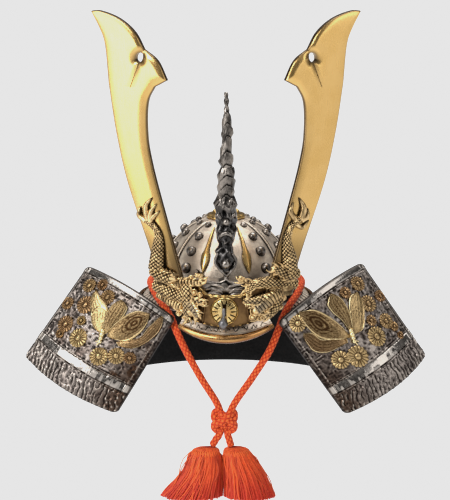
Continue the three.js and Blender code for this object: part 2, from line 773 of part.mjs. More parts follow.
/** Round boss with petals divided by radial grooves; its face swells towards the middle. */
function makeBoss() {
  const { x, z, radius, thick, petals } = BOSS;
  const count = 2 * petals;
  const back = -BASE.radius - GAP;
  const levels = [
    [1, 0],
    [1, 0.4],
    [0.8, 0.8],
    [0.4, 1],
  ];
  const rings = levels.map(([share, rise]) =>
    Array.from({ length: count }, (_, i) => {
      const angle = (2 * Math.PI * i) / count;
      const groove = i % 2 ? 0.94 : 1;
      const reach = radius * share * groove;
      const y = back - thick * rise * groove;
      return new THREE.Vector3(x + reach * Math.cos(angle), y, z + reach * Math.sin(angle));
    }),
  );
  const disc = loft(rings, new THREE.Vector3(x, back, z), new THREE.Vector3(x, back - 0.7 * thick, z));
  addPiece("boss", disc, "polishedGold");
}

function makeBossPin() {
  const { x, z } = BOSS;
  const face = -BASE.radius - GAP - BOSS.thick - GAP;
  const rows = [
    [x - 0.2, face - 0.5, z + 1.8, 0.75],
    [x - 0.3, face - 0.7, z - 1.4, 0.75],
    [x - 0.5, face - 2, z - 3.2, 1.5],
    [x - 0.6, face - 2.5, z - 4.9, 2.35],
    [x - 0.6, face - 2.3, z - 6.7, 1.3],
    [x - 0.6, face - 2.1, z - 7.8, 0.3],
  ];
  addPiece("boss_pin", limb(rows, 7, 1), "lead");
}

// ---------------------------------------------------------------- visor

/** Centre line of the visor's rim, with s from -1 to 1. */
function visorRim(s) {
  const { halfWidth, rimY, rimZ, sweepBack, rise } = VISOR;
  return new THREE.Vector3(halfWidth * s, rimY + sweepBack * s * s, rimZ + rise * s * s);
}

/** Upper face of the visor: t is 0 at the bowl and 1 near the rim. */
function visorFace(s, t) {
  const { halfWidth, innerRadius, innerZ } = VISOR;
  const x = (halfWidth - 1.5) * s;
  const inner = new THREE.Vector3(x, -Math.sqrt(innerRadius ** 2 - x * x), innerZ);
  const outer = visorRim(s).multiply(new THREE.Vector3(0.99, 1, 1)).add(new THREE.Vector3(0, 2.2, 1.3));
  const point = inner.lerp(outer, t);
  point.z -= 0.7 * Math.sin(Math.PI * t);
  return point;
}

function makeVisor() {
  const top = (s, t) => visorFace(2 * s - 1, t);
  const under = (s, t) => visorFace(2 * s - 1, t).add(new THREE.Vector3(0, 0.3, -VISOR_THICK));
  addPiece("visor", sheet(top, under, 12, 2), "silver");
}

function makeVisorRim() {
  const rows = Array.from({ length: 11 }, (_, k) => {
    const s = k / 5 - 1;
    return [...visorRim(s), THREE.MathUtils.lerp(RIM_RADIUS.middle, RIM_RADIUS.end, s * s)];
  });
  addPiece("visor_rim", limb(rows, 6), "copper");
}

// ---------------------------------------------------------------- neck guard and its rings

/** Azimuth from one front end round the back to the other. */
function roundTheBack(s, startDeg) {
  return THREE.MathUtils.lerp(startDeg, 360 - startDeg, s) * DEG;
}

function makeLacedBand() {
  const { innerX, innerY, width, top, fall, thick, startDeg, ribs, ribDepth } = BAND;
  const face = (lift) => (s, t, i) => {
    const ridge = lift === 0 && i % 2 ? -ribDepth : 0;
    const reach = width * t;
    return onOval(roundTheBack(s, startDeg), innerX + reach, innerY + reach, top - fall * t + lift + ridge);
  };
  addPiece("laced_band", sheet(face(0), face(-thick), ribs, 1), "darkSilver");
}

function makeFlangeRing() {
  const { radius, halfWidth, halfDepth, z, startDeg } = FLANGE_RING;
  const count = 18;
  const rows = Array.from({ length: count }, (_, k) => [
    ...onOval(roundTheBack(k / (count - 1), startDeg), halfWidth, halfDepth, z),
    radius,
  ]);
  addPiece("flange_ring", limb(rows), "copper");
}

/** A point on the neck guard: s goes round the back, j is the row in GUARD_LEVELS, inset moves it inward. */
function guardPoint(s, j, inset) {
  const [halfWidth, halfDepth, z] = GUARD_LEVELS[j];
  return onOval(roundTheBack(s, GUARD_START_DEG), halfWidth - inset, halfDepth - inset, z);
}

function makeNeckGuard() {
  const outside = (s, _t, _i, j) => guardPoint(s, j, 0);
  const inside = (s, _t, _i, j) => guardPoint(s, j, GUARD_WALL);
  addPiece("neck_guard", sheet(outside, inside, 14, GUARD_LEVELS.length - 1), "guard");
}

// ---------------------------------------------------------------- turned-back plates

/** Outward normal of a plate's chord plane. */
function plateNormal(corners) {
  const [innerTop, outerTop, innerBottom, outerBottom] = corners;
  const across = outerTop.clone().add(outerBottom).sub(innerTop).sub(innerBottom);
  const down = innerBottom.clone().add(outerBottom).sub(innerTop).sub(outerTop);
  const normal = across.cross(down).normalize();
  return normal.y > 0 ? normal.negate() : normal;
}

/** The corners of a plate as vectors: inner top, outer top, inner bottom, outer bottom. */
function plateCorners(side) {
  const { innerTop, outerTop, innerBottom, outerBottom } = PLATE_CORNERS[side];
  return [innerTop, outerTop, innerBottom, outerBottom].map((corner) => new THREE.Vector3(...corner));
}

/** A point of a plate: s from the fold to the outer edge, t from top to bottom, lift above its face. */
function platePoint(side, s, t, lift) {
  const corners = plateCorners(side);
  const [innerTop, outerTop, innerBottom, outerBottom] = corners;
  const arch = 4 * s * (1 - s);
  const down = t + (2 * t - 1) * PLATE.barrel * arch;
  const upper = innerTop.clone().lerp(outerTop, s);
  const lower = innerBottom.clone().lerp(outerBottom, s);
  return upper.lerp(lower, down).addScaledVector(plateNormal(corners), PLATE.bulge * arch + lift);
}

/** The plate with its raised frame and bands: the grid has a line on each side of every step. */
function plateSlab(side) {
  const { frame, thick, bandTop, bandBottom, edge, topBand, step } = PLATE;
  const across = [0, edge, edge + step, 0.25, 0.5, 0.75, 1 - edge - step, 1 - edge, 1];
  const down = [0, topBand, topBand + step, bandTop - step, bandTop, bandBottom, bandBottom + step, 1];
  const raised = (s, t) => s <= edge || s >= 1 - edge || t <= topBand || (t >= bandTop && t <= bandBottom);
  const face = (_s, _t, i, j) =>
    platePoint(side, across[i], down[j], raised(across[i], down[j]) ? frame : 0);
  const rear = (_s, _t, i, j) => platePoint(side, across[i], down[j], -thick);
  return sheet(face, rear, across.length - 1, down.length - 1);
}

/** A round flower in low relief, with a swelling middle. */
function plateFlower(side, s, t, radius) {
  const count = 6;
  const width = plateCorners(side)[0].distanceTo(plateCorners(side)[1]);
  const height = plateCorners(side)[0].distanceTo(plateCorners(side)[2]);
  const ringAt = (share, lift) =>
    Array.from({ length: count }, (_, i) => {
      const angle = (2 * Math.PI * i) / count;
      const ds = (radius * share * Math.cos(angle)) / width;
      const dt = (radius * share * Math.sin(angle)) / height;
      return platePoint(side, Math.min(s + ds, 0.985), t + dt, lift);
    });
  const rings = [ringAt(1, -0.6), ringAt(0.95, 0.7 * PLATE.relief)];
  return loft(rings, platePoint(side, s, t, -0.6), platePoint(side, s, t, PLATE.relief));
}

/** A butterfly's wing in relief: a leaf from its root to its tip. */
function plateWing(side, rootS, rootT, tipS, tipT, halfWidth) {
  const root = platePoint(side, rootS, rootT, 0.2);
  const middle = platePoint(side, 0.45 * rootS + 0.55 * tipS, 0.45 * rootT + 0.55 * tipT, 0.2);
  const tip = platePoint(side, tipS, tipT, 0.2);
  const normal = plateNormal(plateCorners(side));
  const reach = tip.clone().sub(root);
  const sideways = reach.clone().cross(normal).normalize();
  const shares = [
    [0.02, 0.2],
    [0.5, 1],
    [0.85, 0.7],
  ];
  const rings = shares.map(([along, width]) => {
    const centre = root.clone().lerp(tip, along);
    const bend = middle.clone().sub(root.clone().lerp(tip, 0.55));
    centre.addScaledVector(bend, 4 * along * (1 - along));
    const edge = sideways.clone().multiplyScalar(halfWidth * width);
    return [
      centre.clone().add(edge).addScaledVector(normal, 0.5 * PLATE.relief),
      centre.clone().addScaledVector(normal, 1.1 * PLATE.relief),
      centre.clone().sub(edge).addScaledVector(normal, 0.5 * PLATE.relief),
      centre.clone().addScaledVector(normal, -0.9),
    ];
  });
  return loft(rings, root, tip.clone().addScaledVector(normal, 0.3));
}

/** The return behind the fold: a strip from the plate's inner edge back to the neck guard's front edge. */
function plateFold(side) {
  const sign = side === "left" ? -1 : 1;
  const face = (shift) => (s, t) => {
    const down = THREE.MathUtils.lerp(FOLD.top, 0.985, t);
    const edge = platePoint(side, 0.02, down, -0.4);
    const row = THREE.MathUtils.lerp(0, GUARD_LEVELS.length - 1, down);
    const [above, below] = [Math.floor(row), Math.ceil(row)];
    const start = guardPoint(0, above, 0.5 * GUARD_WALL);
    start.lerp(guardPoint(0, below, 0.5 * GUARD_WALL), row - above);
    start.x *= sign;
    const back = edge.clone().sub(start).setZ(0).normalize();
    const end = start.addScaledVector(back, 0.75 * GUARD_WALL);
    const across = new THREE.Vector3(-back.y, back.x, 0);
    return edge.lerp(end, s).addScaledVector(across, shift);
  };
  return sheet(face(0.5 * FOLD.thick), face(-0.5 * FOLD.thick), 1, 4);
}

/** The butterfly's body between its wings. */
function butterflyBody(side) {
  const rows = [0.42, 0.46, 0.5].map((t, k) => [...platePoint(side, 0.47 - 0.02 * k, t, 0.7), 1.2 - 0.2 * k]);
  return limb(rows, 5, 1);
}

function makeTurnback(name, side) {
  const parts = [
    plateSlab(side),
    plateFold(side),
    ...FLOWERS[side].map(([s, t, radius]) => plateFlower(side, s, t, radius)),
    ...WINGS[side].map((wing) => plateWing(side, ...wing)),
    butterflyBody(side),
  ];
  addPiece(name, geometryOf(joined(parts)), "silver");
}

// ---------------------------------------------------------------- horns

/** Frame of the right horn's plane: u outward, v up, w out of its front face; w is 0 on that face. */
function hornFrame() {
  const turn = HORN.turnDeg * DEG;
  const lean = HORN.leanDeg * DEG;
  const outward = new THREE.Vector3(Math.cos(turn), Math.sin(turn), 0);
  const facing = new THREE.Vector3(Math.sin(turn), -Math.cos(turn), 0);
  const up = new THREE.Vector3(0, 0, Math.cos(lean)).addScaledVector(facing, Math.sin(lean));
  const normal = outward.clone().cross(up);
  const origin = new THREE.Vector3(...HORN.foot).addScaledVector(normal, 0.5 * HORN.thick);
  return new THREE.Matrix4().makeBasis(outward, up, normal).setPosition(origin);
}

function hornOutline() {
  const vectors = (rows) => rows.map(([u, v]) => new THREE.Vector2(u, v));
  const shape = new THREE.Shape();
  shape.moveTo(...HORN_OUTER_EDGE[0]);
  shape.splineThru(vectors(HORN_OUTER_EDGE.slice(1)));
  shape.lineTo(...HORN_HEAD[0]);
  shape.splineThru(vectors(HORN_HEAD.slice(1)));
  shape.splineThru(vectors(HORN_BROW.slice(1)));
  shape.splineThru(vectors(HORN_THROAT.slice(1)));
  return shape;
}

/** The blade of the right horn, or with a clearance the cutter for its pocket. */
function hornBlade(clearance) {
  const shape = hornOutline();
  const { thick } = HORN;
  if (clearance > 0) {
    const cutter = new THREE.ExtrudeGeometry(shape, {
      depth: thick,
      curveSegments: 2,
      bevelThickness: clearance,
      bevelSize: clearance,
      bevelSegments: 1,
    });
    return cutter.translate(0, 0, -thick).applyMatrix4(hornFrame());
  }
  const eye = new THREE.Path();
  eye.absarc(HORN_EYE.u, HORN_EYE.v, HORN_EYE.radius, 0, 2 * Math.PI, true);
  shape.holes.push(eye);
  const blade = new THREE.ExtrudeGeometry(shape, { depth: thick, curveSegments: 2, bevelEnabled: false });
  return blade.translate(0, 0, -thick).applyMatrix4(hornFrame());
}

function makeHorns() {
  const right = geometryOf(solidOf(hornBlade(0)));
  addPiece("horn_right", right, "satinGold");
  addPiece("horn_left", mirrored(right), "satinGold");
}

// ---------------------------------------------------------------- dragons

/** Rows given on the horn's face turned into points of the right-hand side. */
function onHorn(rows) {
  const frame = hornFrame();
  return rows.map(([u, v, lift, radius]) => [...new THREE.Vector3(u, v, lift).applyMatrix4(frame), radius]);
}

/** Rows given round the crest base turned into points of the right-hand side. */
function roundBase(rows) {
  return rows.map(([x, z, lift, radius]) => {
    const reach = BASE.radius + GAP + lift;
    return [x, -Math.sqrt(reach * reach - x * x), z, radius];
  });
}

/** The pocket that takes the foot of the horn. */
function hornPocket() {
  const { width, height, wall, u, v } = HORN_POCKET;
  const pocket = new THREE.BoxGeometry(width, height, HORN.thick + 2 * wall);
  return pocket.translate(u, v, -0.5 * HORN.thick - 0.2).applyMatrix4(hornFrame());
}

function makeDragon(name, side) {
  const arms = DRAGON_ARMS[side].map((rows) => limb(onHorn(rows)));
  const body = DRAGON_BODIES[side].map((rows) => limb(roundBase(rows)));
  const whole = joined([hornPocket(), ...arms, ...body]);
  const cutters = [hornBlade(HORN.clearance), baseWall(GAP), lipRoll(GAP), hemRoll(GAP)];
  const clear = cutters.reduce((solid, cutter) => solid.subtract(solidOf(cutter)), whole);
  const geometry = geometryOf(largestBody(clear));
  addPiece(name, side === "left" ? mirrored(geometry) : geometry, "brass");
}

/** The upright dragon: an oval body with overlapping scales, knobs in front and a tang below. */
function makeDragonCrest() {
  const sides = 6;
  const rings = CREST_LEVELS.map(([z, x, half, y], k) =>
    Array.from({ length: sides }, (_, j) => {
      const angle = (2 * Math.PI * (j + 0.5 * (k % 2))) / sides;
      const sag = 0.35 * half * Math.cos(2 * angle);
      return new THREE.Vector3(x + half * Math.cos(angle), y + 1.2 * half * Math.sin(angle), z - sag);
    }),
  );
  const [top, bottom] = [CREST_LEVELS[0], CREST_LEVELS[CREST_LEVELS.length - 1]];
  const body = loft(
    rings,
    new THREE.Vector3(top[1], top[3], top[0] + 0.8),
    new THREE.Vector3(bottom[1], bottom[3], bottom[0] - 0.6),
  );
  const knobs = CREST_KNOBS.map((knob) => ball(...knob));
  const tang = new THREE.CylinderGeometry(TANG.radius, TANG.radius, TANG.top - TANG.bottom, 8);
  tang.rotateX(Math.PI / 2).translate(0, TANG.y, 0.5 * (TANG.top + TANG.bottom));
  addPiece("dragon_crest", geometryOf(joined([body, ...knobs, tang])), "gunmetal");
}

// ---------------------------------------------------------------- cord, knot and tassels

/** A round tube of few sides along a route. */
function cordTube(route, steps) {
  const points = route.map((row) => new THREE.Vector3(...row));
  const path = new THREE.CatmullRomCurve3(points, false, "centripetal");
  const section = new THREE.Shape();
  for (let k = 0; k < 8; k++) {
    const angle = (2 * Math.PI * k) / 8;
    const [x, y] = [CORD_RADIUS * Math.cos(angle), CORD_RADIUS * Math.sin(angle)];
    if (k === 0) {
      section.moveTo(x, y);
    } else {
      section.lineTo(x, y);
    }
  }
  return new THREE.ExtrudeGeometry(section, { steps, extrudePath: path });
}

function makeCord() {
  addPiece("cord", cordTube(CORD_ROUTE, 34), "orangeBraid");
  addPiece("tail_left", cordTube(TAIL_ROUTES.left, 2), "orangeBraid");
  addPiece("tail_right", cordTube(TAIL_ROUTES.right, 2), "orangeBraid");
}

/** Four lobes with two strands that cross over them. */
function makeKnot() {
  const { x, y, z } = KNOT;
  const lobe = 3.1;
  const parts = [];
  for (const right of [-1, 1]) {
    for (const up of [-1, 1]) {
      parts.push(ball(x + 3.4 * right, y + 0.6 * up, z + 2.7 * up, lobe));
    }
  }
  parts.push(limb([[x - 3.2, y - 2, z + 3, 2], [x, y - 3, z, 2.1], [x + 3.2, y - 2, z - 3, 2]], 5));
  parts.push(limb([[x + 3.2, y + 2, z + 3, 2], [x, y + 3, z, 2.1], [x - 3.2, y + 2, z - 3, 2]], 5));
  addPiece("knot", geometryOf(joined(parts)), "orangeBraid");
}

/** A domed head with a skirt of locks that flares to its lower edge. */
function makeTassel(name, side) {
  const locks = 9;
  const levels = TASSEL_LEVELS[side];
  const rings = levels.map(([z, left, right, depth], k) =>
    Array.from({ length: 2 * locks }, (_, i) => {
      const angle = (Math.PI * i) / locks;
      const crease = i % 2 ? 1 - 0.02 * k : 1;
      const x = 0.5 * (left + right) + 0.5 * (right - left) * crease * Math.cos(angle);
      return new THREE.Vector3(x, KNOT.y + depth * crease * Math.sin(angle), z);
    }),
  );
  const [top, bottom] = [levels[0], levels[levels.length - 1]];
  const middle = (level, dz) => new THREE.Vector3(0.5 * (level[1] + level[2]), KNOT.y, level[0] + dz);
  addPiece(name, loft(rings, middle(top, 0.1), middle(bottom, -0.6)), "tasselThread");
}

// ---------------------------------------------------------------- assembly

const helmet = new THREE.Group();

makeBowl();
makeCrownRing();
makeShinodare("shinodare_left", -1);
makeShinodare("shinodare_right", 1);
makeCrestBase();
makeCrestSocket();
makeBoss();
makeBossPin();
makeVisor();
makeVisorRim();
makeLacedBand();
makeFlangeRing();
makeNeckGuard();
makeTurnback("turnback_left", "left");
makeTurnback("turnback_right", "right");
makeHorns();
makeDragon("dragon_left", "left");
makeDragon("dragon_right", "right");
makeDragonCrest();
makeCord();
makeKnot();
makeTassel("tassel_left", "left");
makeTassel("tassel_right", "right");

export default helmet;
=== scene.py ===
import json
import math

import bpy
import numpy as np
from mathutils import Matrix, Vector

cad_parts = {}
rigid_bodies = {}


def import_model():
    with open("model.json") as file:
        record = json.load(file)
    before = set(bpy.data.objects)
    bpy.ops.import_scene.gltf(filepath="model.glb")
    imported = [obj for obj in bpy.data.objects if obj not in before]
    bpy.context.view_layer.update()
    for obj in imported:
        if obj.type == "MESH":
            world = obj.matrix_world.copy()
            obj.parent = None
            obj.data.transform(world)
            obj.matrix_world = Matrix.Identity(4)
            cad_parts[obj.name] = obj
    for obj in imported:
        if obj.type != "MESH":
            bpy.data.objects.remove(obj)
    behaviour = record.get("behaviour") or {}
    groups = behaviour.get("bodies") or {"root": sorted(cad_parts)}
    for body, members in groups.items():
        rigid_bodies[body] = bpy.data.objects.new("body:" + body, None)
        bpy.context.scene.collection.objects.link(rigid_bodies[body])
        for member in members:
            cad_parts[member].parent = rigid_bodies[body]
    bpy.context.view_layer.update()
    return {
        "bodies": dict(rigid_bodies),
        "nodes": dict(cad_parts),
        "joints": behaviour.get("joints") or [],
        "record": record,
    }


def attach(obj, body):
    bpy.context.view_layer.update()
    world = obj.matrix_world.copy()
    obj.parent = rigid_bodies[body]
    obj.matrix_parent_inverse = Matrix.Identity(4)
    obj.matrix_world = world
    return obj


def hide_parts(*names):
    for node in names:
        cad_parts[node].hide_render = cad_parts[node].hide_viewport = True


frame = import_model()

# A desk-top kabuto ornament. Lengths in the tables are millimetres; MM turns them into metres in a mesh.
MM = 0.001
TAU = 2 * math.pi
chance = np.random.default_rng(7)


# ---------------------------------------------------------------- node trees


class Value:
    """A number or colour on its way through a node tree. Operators add Math nodes."""

    def __init__(self, nodes, socket):
        self.nodes = nodes
        self.socket = socket

    def maths(self, operation, *numbers):
        return self.nodes.node("ShaderNodeMath", {"operation": operation}, dict(enumerate(numbers)))

    def __add__(self, other):
        return self.maths("ADD", self, other)

    def __radd__(self, other):
        return self.maths("ADD", other, self)

    def __sub__(self, other):
        return self.maths("SUBTRACT", self, other)

    def __rsub__(self, other):
        return self.maths("SUBTRACT", other, self)

    def __mul__(self, other):
        return self.maths("MULTIPLY", self, other)

    def __rmul__(self, other):
        return self.maths("MULTIPLY", other, self)

    def sine(self):
        return self.maths("SINE", self)

    def between(self, low, high, start=0.0, end=1.0):
        """Smooth step from start at low to end at high."""
        settings = {"interpolation_type": "SMOOTHSTEP"}
        inputs = {"Value": self, "From Min": low, "From Max": high, "To Min": start, "To Max": end}
        return self.nodes.node("ShaderNodeMapRange", settings, inputs)


class Nodes:
    """A node tree, built up from nothing."""

    def __init__(self, tree):
        self.tree = tree
        tree.nodes.clear()

    def put(self, socket, value):
        """Links a value to a socket, or sets the socket to a number, a vector or a linear colour."""
        if isinstance(value, Value):
            self.tree.links.new(value.socket, socket)
        elif isinstance(value, tuple) and len(value) == 3 and socket.type == "RGBA":
            socket.default_value = (*value, 1.0)
        else:
            socket.default_value = value

    def node(self, kind, settings=None, inputs=None, output=0):
        """Adds a node and gives one of its outputs. Its settings come first, such as an operation or the stops
        of a grey ramp, then the values or links of its sockets."""
        node = self.tree.nodes.new(kind)
        for name, value in (settings or {}).items():
            if name == "stops":
                elements = node.color_ramp.elements
                while len(elements) < len(value):
                    elements.new(0.5)
                for element, (position, grey) in zip(elements, value):
                    element.position = position
                    element.color = (grey, grey, grey, 1.0)
            else:
                setattr(node, name, value)
        for name, value in (inputs or {}).items():
            self.put(node.inputs[name], value)
        return Value(self, node.outputs[output]) if node.outputs else None

    def mix(self, share, first, second):
        """Colour from first to second."""
        return self.node("ShaderNodeMix", {"data_type": "RGBA"}, {0: share, 6: first, 7: second}, output=2)


class Finish(Nodes):
    """One material on a Principled shader, with the patterns that the finishes share."""

    def __init__(self, name, **fixed):
        self.material = bpy.data.materials.new(name)
        self.material.use_nodes = True
        super().__init__(self.material.node_tree)
        self.shader = self.tree.nodes.new("ShaderNodeBsdfPrincipled")
        output = self.tree.nodes.new("ShaderNodeOutputMaterial")
        self.tree.links.new(self.shader.outputs[0], output.inputs[0])
        self.place = self.node("ShaderNodeTexCoord", output="Object")
        self.set(**fixed)

    def set(self, **values):
        """Sets or links the shader's sockets; an underscore in a name stands for a space."""
        for name, value in values.items():
            self.put(self.shader.inputs[name.replace("_", " ")], value)

    def attribute(self, name):
        return self.node("ShaderNodeAttribute", {"attribute_name": name}, output="Fac")

    def noise(self, scale, detail=3.0, stretch=None):
        """Cloudy pattern from 0 to 1; scale counts features per metre, stretch squeezes it along the axes."""
        place = self.place
        if stretch:
            place = self.node("ShaderNodeMapping", None, {"Vector": place, "Scale": stretch})
        inputs = {"Vector": place, "Scale": scale, "Detail": detail, "Roughness": 0.55}
        return self.node("ShaderNodeTexNoise", None, inputs)

    def bump(self, height, depth_mm):
        """Relief of the given depth in millimetres for a height from 0 to 1."""
        inputs = {"Height": height, "Distance": depth_mm * MM, "Strength": 1.0}
        self.set(Normal=self.node("ShaderNodeBump", None, inputs))


def paint(red, green, blue):
    """Linear colour of the usual 0 to 255 screen numbers."""
    screen = [level / 255 for level in (red, green, blue)]
    return tuple(c / 12.92 if c < 0.041 else ((c + 0.055) / 1.055) ** 2.4 for c in screen)


# ---------------------------------------------------------------- numbers and curves


def ease(share):
    """Share from 0 to 1 that starts and stops softly."""
    return share * share * (3 - 2 * share)


def step(value, low, high):
    """Smooth step from 0 at low to 1 at high."""
    return ease(np.clip((value - low) / (high - low), 0, 1))


def line(value, centre, half):
    """A soft ridge: 1 at the centre, 0 from half a width away."""
    return np.clip(1 - ((value - centre) / half) ** 2, 0, 1)


def hump(value, width):
    """A bell curve: 1 where the value is 0."""
    return np.exp(-((value / width) ** 2))


def clouds(rows, columns, cell):
    """Seeded random hills from 0 to 1 on a grid, with about cell grid steps from hill to hill."""
    coarse = chance.random((int(rows / cell) + 3, int(columns / cell) + 3))
    y, x = np.arange(rows) / cell, np.arange(columns) / cell
    row, column = y.astype(int), x.astype(int)
    down, along = ease(y - row)[:, None], ease(x - column)[None, :]
    corner = [[coarse[np.ix_(row + i, column + j)] for j in (0, 1)] for i in (0, 1)]
    upper, lower = ((1 - along) * left + along * right for left, right in corner)
    return (1 - down) * upper + down * lower


def grid(down, along):
    """Two arrays over a grid: what changes from row to row, and what changes along a row."""
    return np.meshgrid(down, along, indexing="ij")


def turns(count):
    """Equal steps once round, in radians."""
    return TAU * np.arange(count) / count


def unit(vectors):
    return vectors / np.linalg.norm(vectors, axis=-1, keepdims=True)


def between_rows(table, at):
    """The columns of a table, read between its rows; at counts rows from 0."""
    return [np.interp(at, np.arange(len(table)), column) for column in np.transpose(table)]


# ---------------------------------------------------------------- meshes from arrays


class Form:
    """Points in mm with quads, triangles and named values per point."""

    def __init__(self, points, quads=None, triangles=None, **values):
        self.points = np.asarray(points, float).reshape(-1, 3)
        self.quads = np.zeros((0, 4), int) if quads is None else np.asarray(quads, int)
        self.triangles = np.zeros((0, 3), int) if triangles is None else np.asarray(triangles, int)
        self.values = {k: np.broadcast_to(v, len(self.points)).astype(float) for k, v in values.items()}

    def all_triangles(self):
        return np.vstack([self.quads[:, [0, 1, 2]], self.quads[:, [0, 2, 3]], self.triangles])

    def outward(self):
        """The same form with its faces turned out: its volume, a sum of triple products, comes out above 0."""
        a, b, c = self.points[self.all_triangles()].transpose(1, 0, 2)
        if np.einsum("ij,ij->", a, np.cross(b, c)) < 0:
            self.quads = self.quads[:, ::-1]
            self.triangles = self.triangles[:, ::-1]
        return self

    def mirrored(self):
        """The form on the other side of the plane x = 0."""
        values = {k: v.copy() for k, v in self.values.items()}
        return Form(self.points * [-1, 1, 1], self.quads[:, ::-1], self.triangles[:, ::-1], **values)


def together(forms):
    """One form of many; a value that a form lacks is 0 there."""
    forms = list(forms)
    shifts = np.cumsum([0] + [len(f.points) for f in forms[:-1]])
    names = sorted(set().union(*[f.values for f in forms]))
    values = {n: np.concatenate([f.values.get(n, np.zeros(len(f.points))) for f in forms]) for n in names}
    return Form(
        np.vstack([f.points for f in forms]),
        np.vstack([f.quads + s for f, s in zip(forms, shifts)]),
        np.vstack([f.triangles + s for f, s in zip(forms, shifts)]),
        **values,
    )


def grid_quads(rows, columns, ring_rows=False, ring_columns=False):
    """Quads between neighbours on a grid of points, closed on itself where asked."""
    i = np.arange(rows if ring_rows else rows - 1)[:, None]
    j = np.arange(columns if ring_columns else columns - 1)[None, :]
    after_i, after_j = (i + 1) % rows, (j + 1) % columns
    corners = [i * columns + j, i * columns + after_j, after_i * columns + after_j, after_i * columns + j]
    return np.stack([np.broadcast_to(c, (i.size, j.size)) for c in corners], -1).reshape(-1, 4)


def capped(rings, tips, **values):
    """A closed form over rows of rings, with a fan to a tip before the first ring and one after the last."""
    rows, columns = rings.shape[:2]
    last = (rows - 1) * columns
    flat = {k: np.broadcast_to(v, (rows, columns)).reshape(-1) for k, v in values.items()}
    flat = {k: np.concatenate([v, v[[0, last]]]) for k, v in flat.items()}
    around = np.arange(columns)
    after = (around + 1) % columns
    first_fan = np.stack([np.full(columns, rows * columns), after, around], -1)
    last_fan = np.stack([np.full(columns, rows * columns + 1), last + around, last + after], -1)
    points = np.vstack([rings.reshape(-1, 3), *tips])
    quads = grid_quads(rows, columns, ring_columns=True)
    return Form(points, quads, np.vstack([first_fan, last_fan]), **flat).outward()


def welded(form, reach=1e-4):
    """The form with points at the same place made one. Faces that this flattens are dropped or cut down."""
    _, first, index = np.unique(np.round(form.points / reach), axis=0, return_index=True, return_inverse=True)
    index = index.reshape(-1)
    quads, triangles = index[form.quads], index[form.triangles]
    same = quads == np.roll(quads, -1, axis=1)
    whole = quads[~same.any(axis=1)]
    once = same.sum(axis=1) == 1
    triangles = np.vstack([triangles, quads[once][~same[once]].reshape(-1, 3)])
    flat = (triangles == np.roll(triangles, -1, axis=1)).any(axis=1)
    values = {k: v[first] for k, v in form.values.items()}
    return Form(form.points[first], whole, triangles[~flat], **values)


def plate(front, back, **values):
    """A closed plate between a front and a back grid of the same size."""
    rows, columns = front.shape[:2]
    count = rows * columns
    faces = grid_quads(rows, columns)
    index = np.arange(count).reshape(rows, columns)
    edge = np.concatenate([index[0, :-1], index[:-1, -1], index[-1, :0:-1], index[:0:-1, 0]])
    after = np.roll(edge, -1)
    walls = np.stack([edge, after, after + count, edge + count], -1)[:, ::-1]
    flat = {k: np.tile(np.broadcast_to(v, (rows, columns)).reshape(-1), 2) for k, v in values.items()}
    points = np.vstack([front.reshape(-1, 3), back.reshape(-1, 3)])
    return Form(points, np.vstack([faces, faces[:, ::-1] + count, walls]), **flat).outward()


def smooth_path(rows, count):
    """Centripetal Catmull-Rom curve through rows of numbers, with count points at equal lengths. The first three
    columns are the place, and the others are carried along."""
    rows = np.asarray(rows, float)
    padded = np.vstack([2 * rows[0] - rows[1], rows, 2 * rows[-1] - rows[-2]])
    gaps = np.sqrt(np.linalg.norm(np.diff(padded[:, :3], axis=0), axis=1))[:, None]
    before, here, after = gaps[:-2], gaps[1:-1], gaps[2:]
    a, b, c, d = padded[:-3], padded[1:-2], padded[2:-1], padded[3:]
    leave = ((b - a) / before - (c - a) / (before + here) + (c - b) / here) * here
    arrive = ((c - b) / here - (d - b) / (here + after) + (d - c) / after) * here
    t = np.linspace(0, 1, 24, endpoint=False)[:, None, None]
    fine = b + leave * t + (3 * (c - b) - 2 * leave - arrive) * t**2 + (2 * (b - c) + leave + arrive) * t**3
    fine = np.vstack([fine.transpose(1, 0, 2).reshape(-1, rows.shape[1]), rows[-1:]])
    length = np.concatenate([[0], np.cumsum(np.linalg.norm(np.diff(fine[:, :3], axis=0), axis=1))])
    at = np.linspace(0, length[-1], count)
    return np.stack([np.interp(at, length, column) for column in fine.T], -1)


def path_frames(points, hint=(0.31, 0.52, 0.79)):
    """Tangent, normal and side along a path, with the normal carried along without twist."""
    tangents = unit(np.gradient(points, axis=0))
    normals = np.zeros_like(points)
    normal = np.asarray(hint, float)
    for k, tangent in enumerate(tangents):
        normal = unit(normal - tangent * normal.dot(tangent))
        normals[k] = normal
    return tangents, normals, np.cross(tangents, normals)


def tube(rows, count, sides, relief=None, hint=(0.31, 0.52, 0.79), blunt=(0.7, 0.7), flatten=1.0, **values):
    """A round limb: rows of x, y, z and radius carried along a smooth path. relief(u, v) adds to the radius
    in mm, with u in mm along the path and v from 0 to 1 round it; flatten squeezes it along its side, and
    blunt is how far each end's tip stands out in radii."""
    path = smooth_path(rows, count)
    centre, radius = path[:, :3], path[:, 3]
    tangents, normals, sideways = path_frames(centre, hint)
    v = np.arange(sides) / sides
    u = np.concatenate([[0], np.cumsum(np.linalg.norm(np.diff(centre, axis=0), axis=1))])
    rise = relief(u[:, None], v[None, :]) + 0 * v if relief else 0
    reach = radius[:, None] + rise
    if relief and "patina" not in values:
        values["patina"] = 0.85 * (1 - (rise - rise.min()) / (np.ptp(rise) + 1e-9)) ** 1.6
    angle = TAU * v[None, :, None]
    offset = normals[:, None] * np.cos(angle) + flatten * sideways[:, None] * np.sin(angle)
    points = centre[:, None] + offset * reach[:, :, None]
    tips = [centre[0] - blunt[0] * radius[0] * tangents[0], centre[-1] + blunt[1] * radius[-1] * tangents[-1]]
    return capped(points, tips, **values)


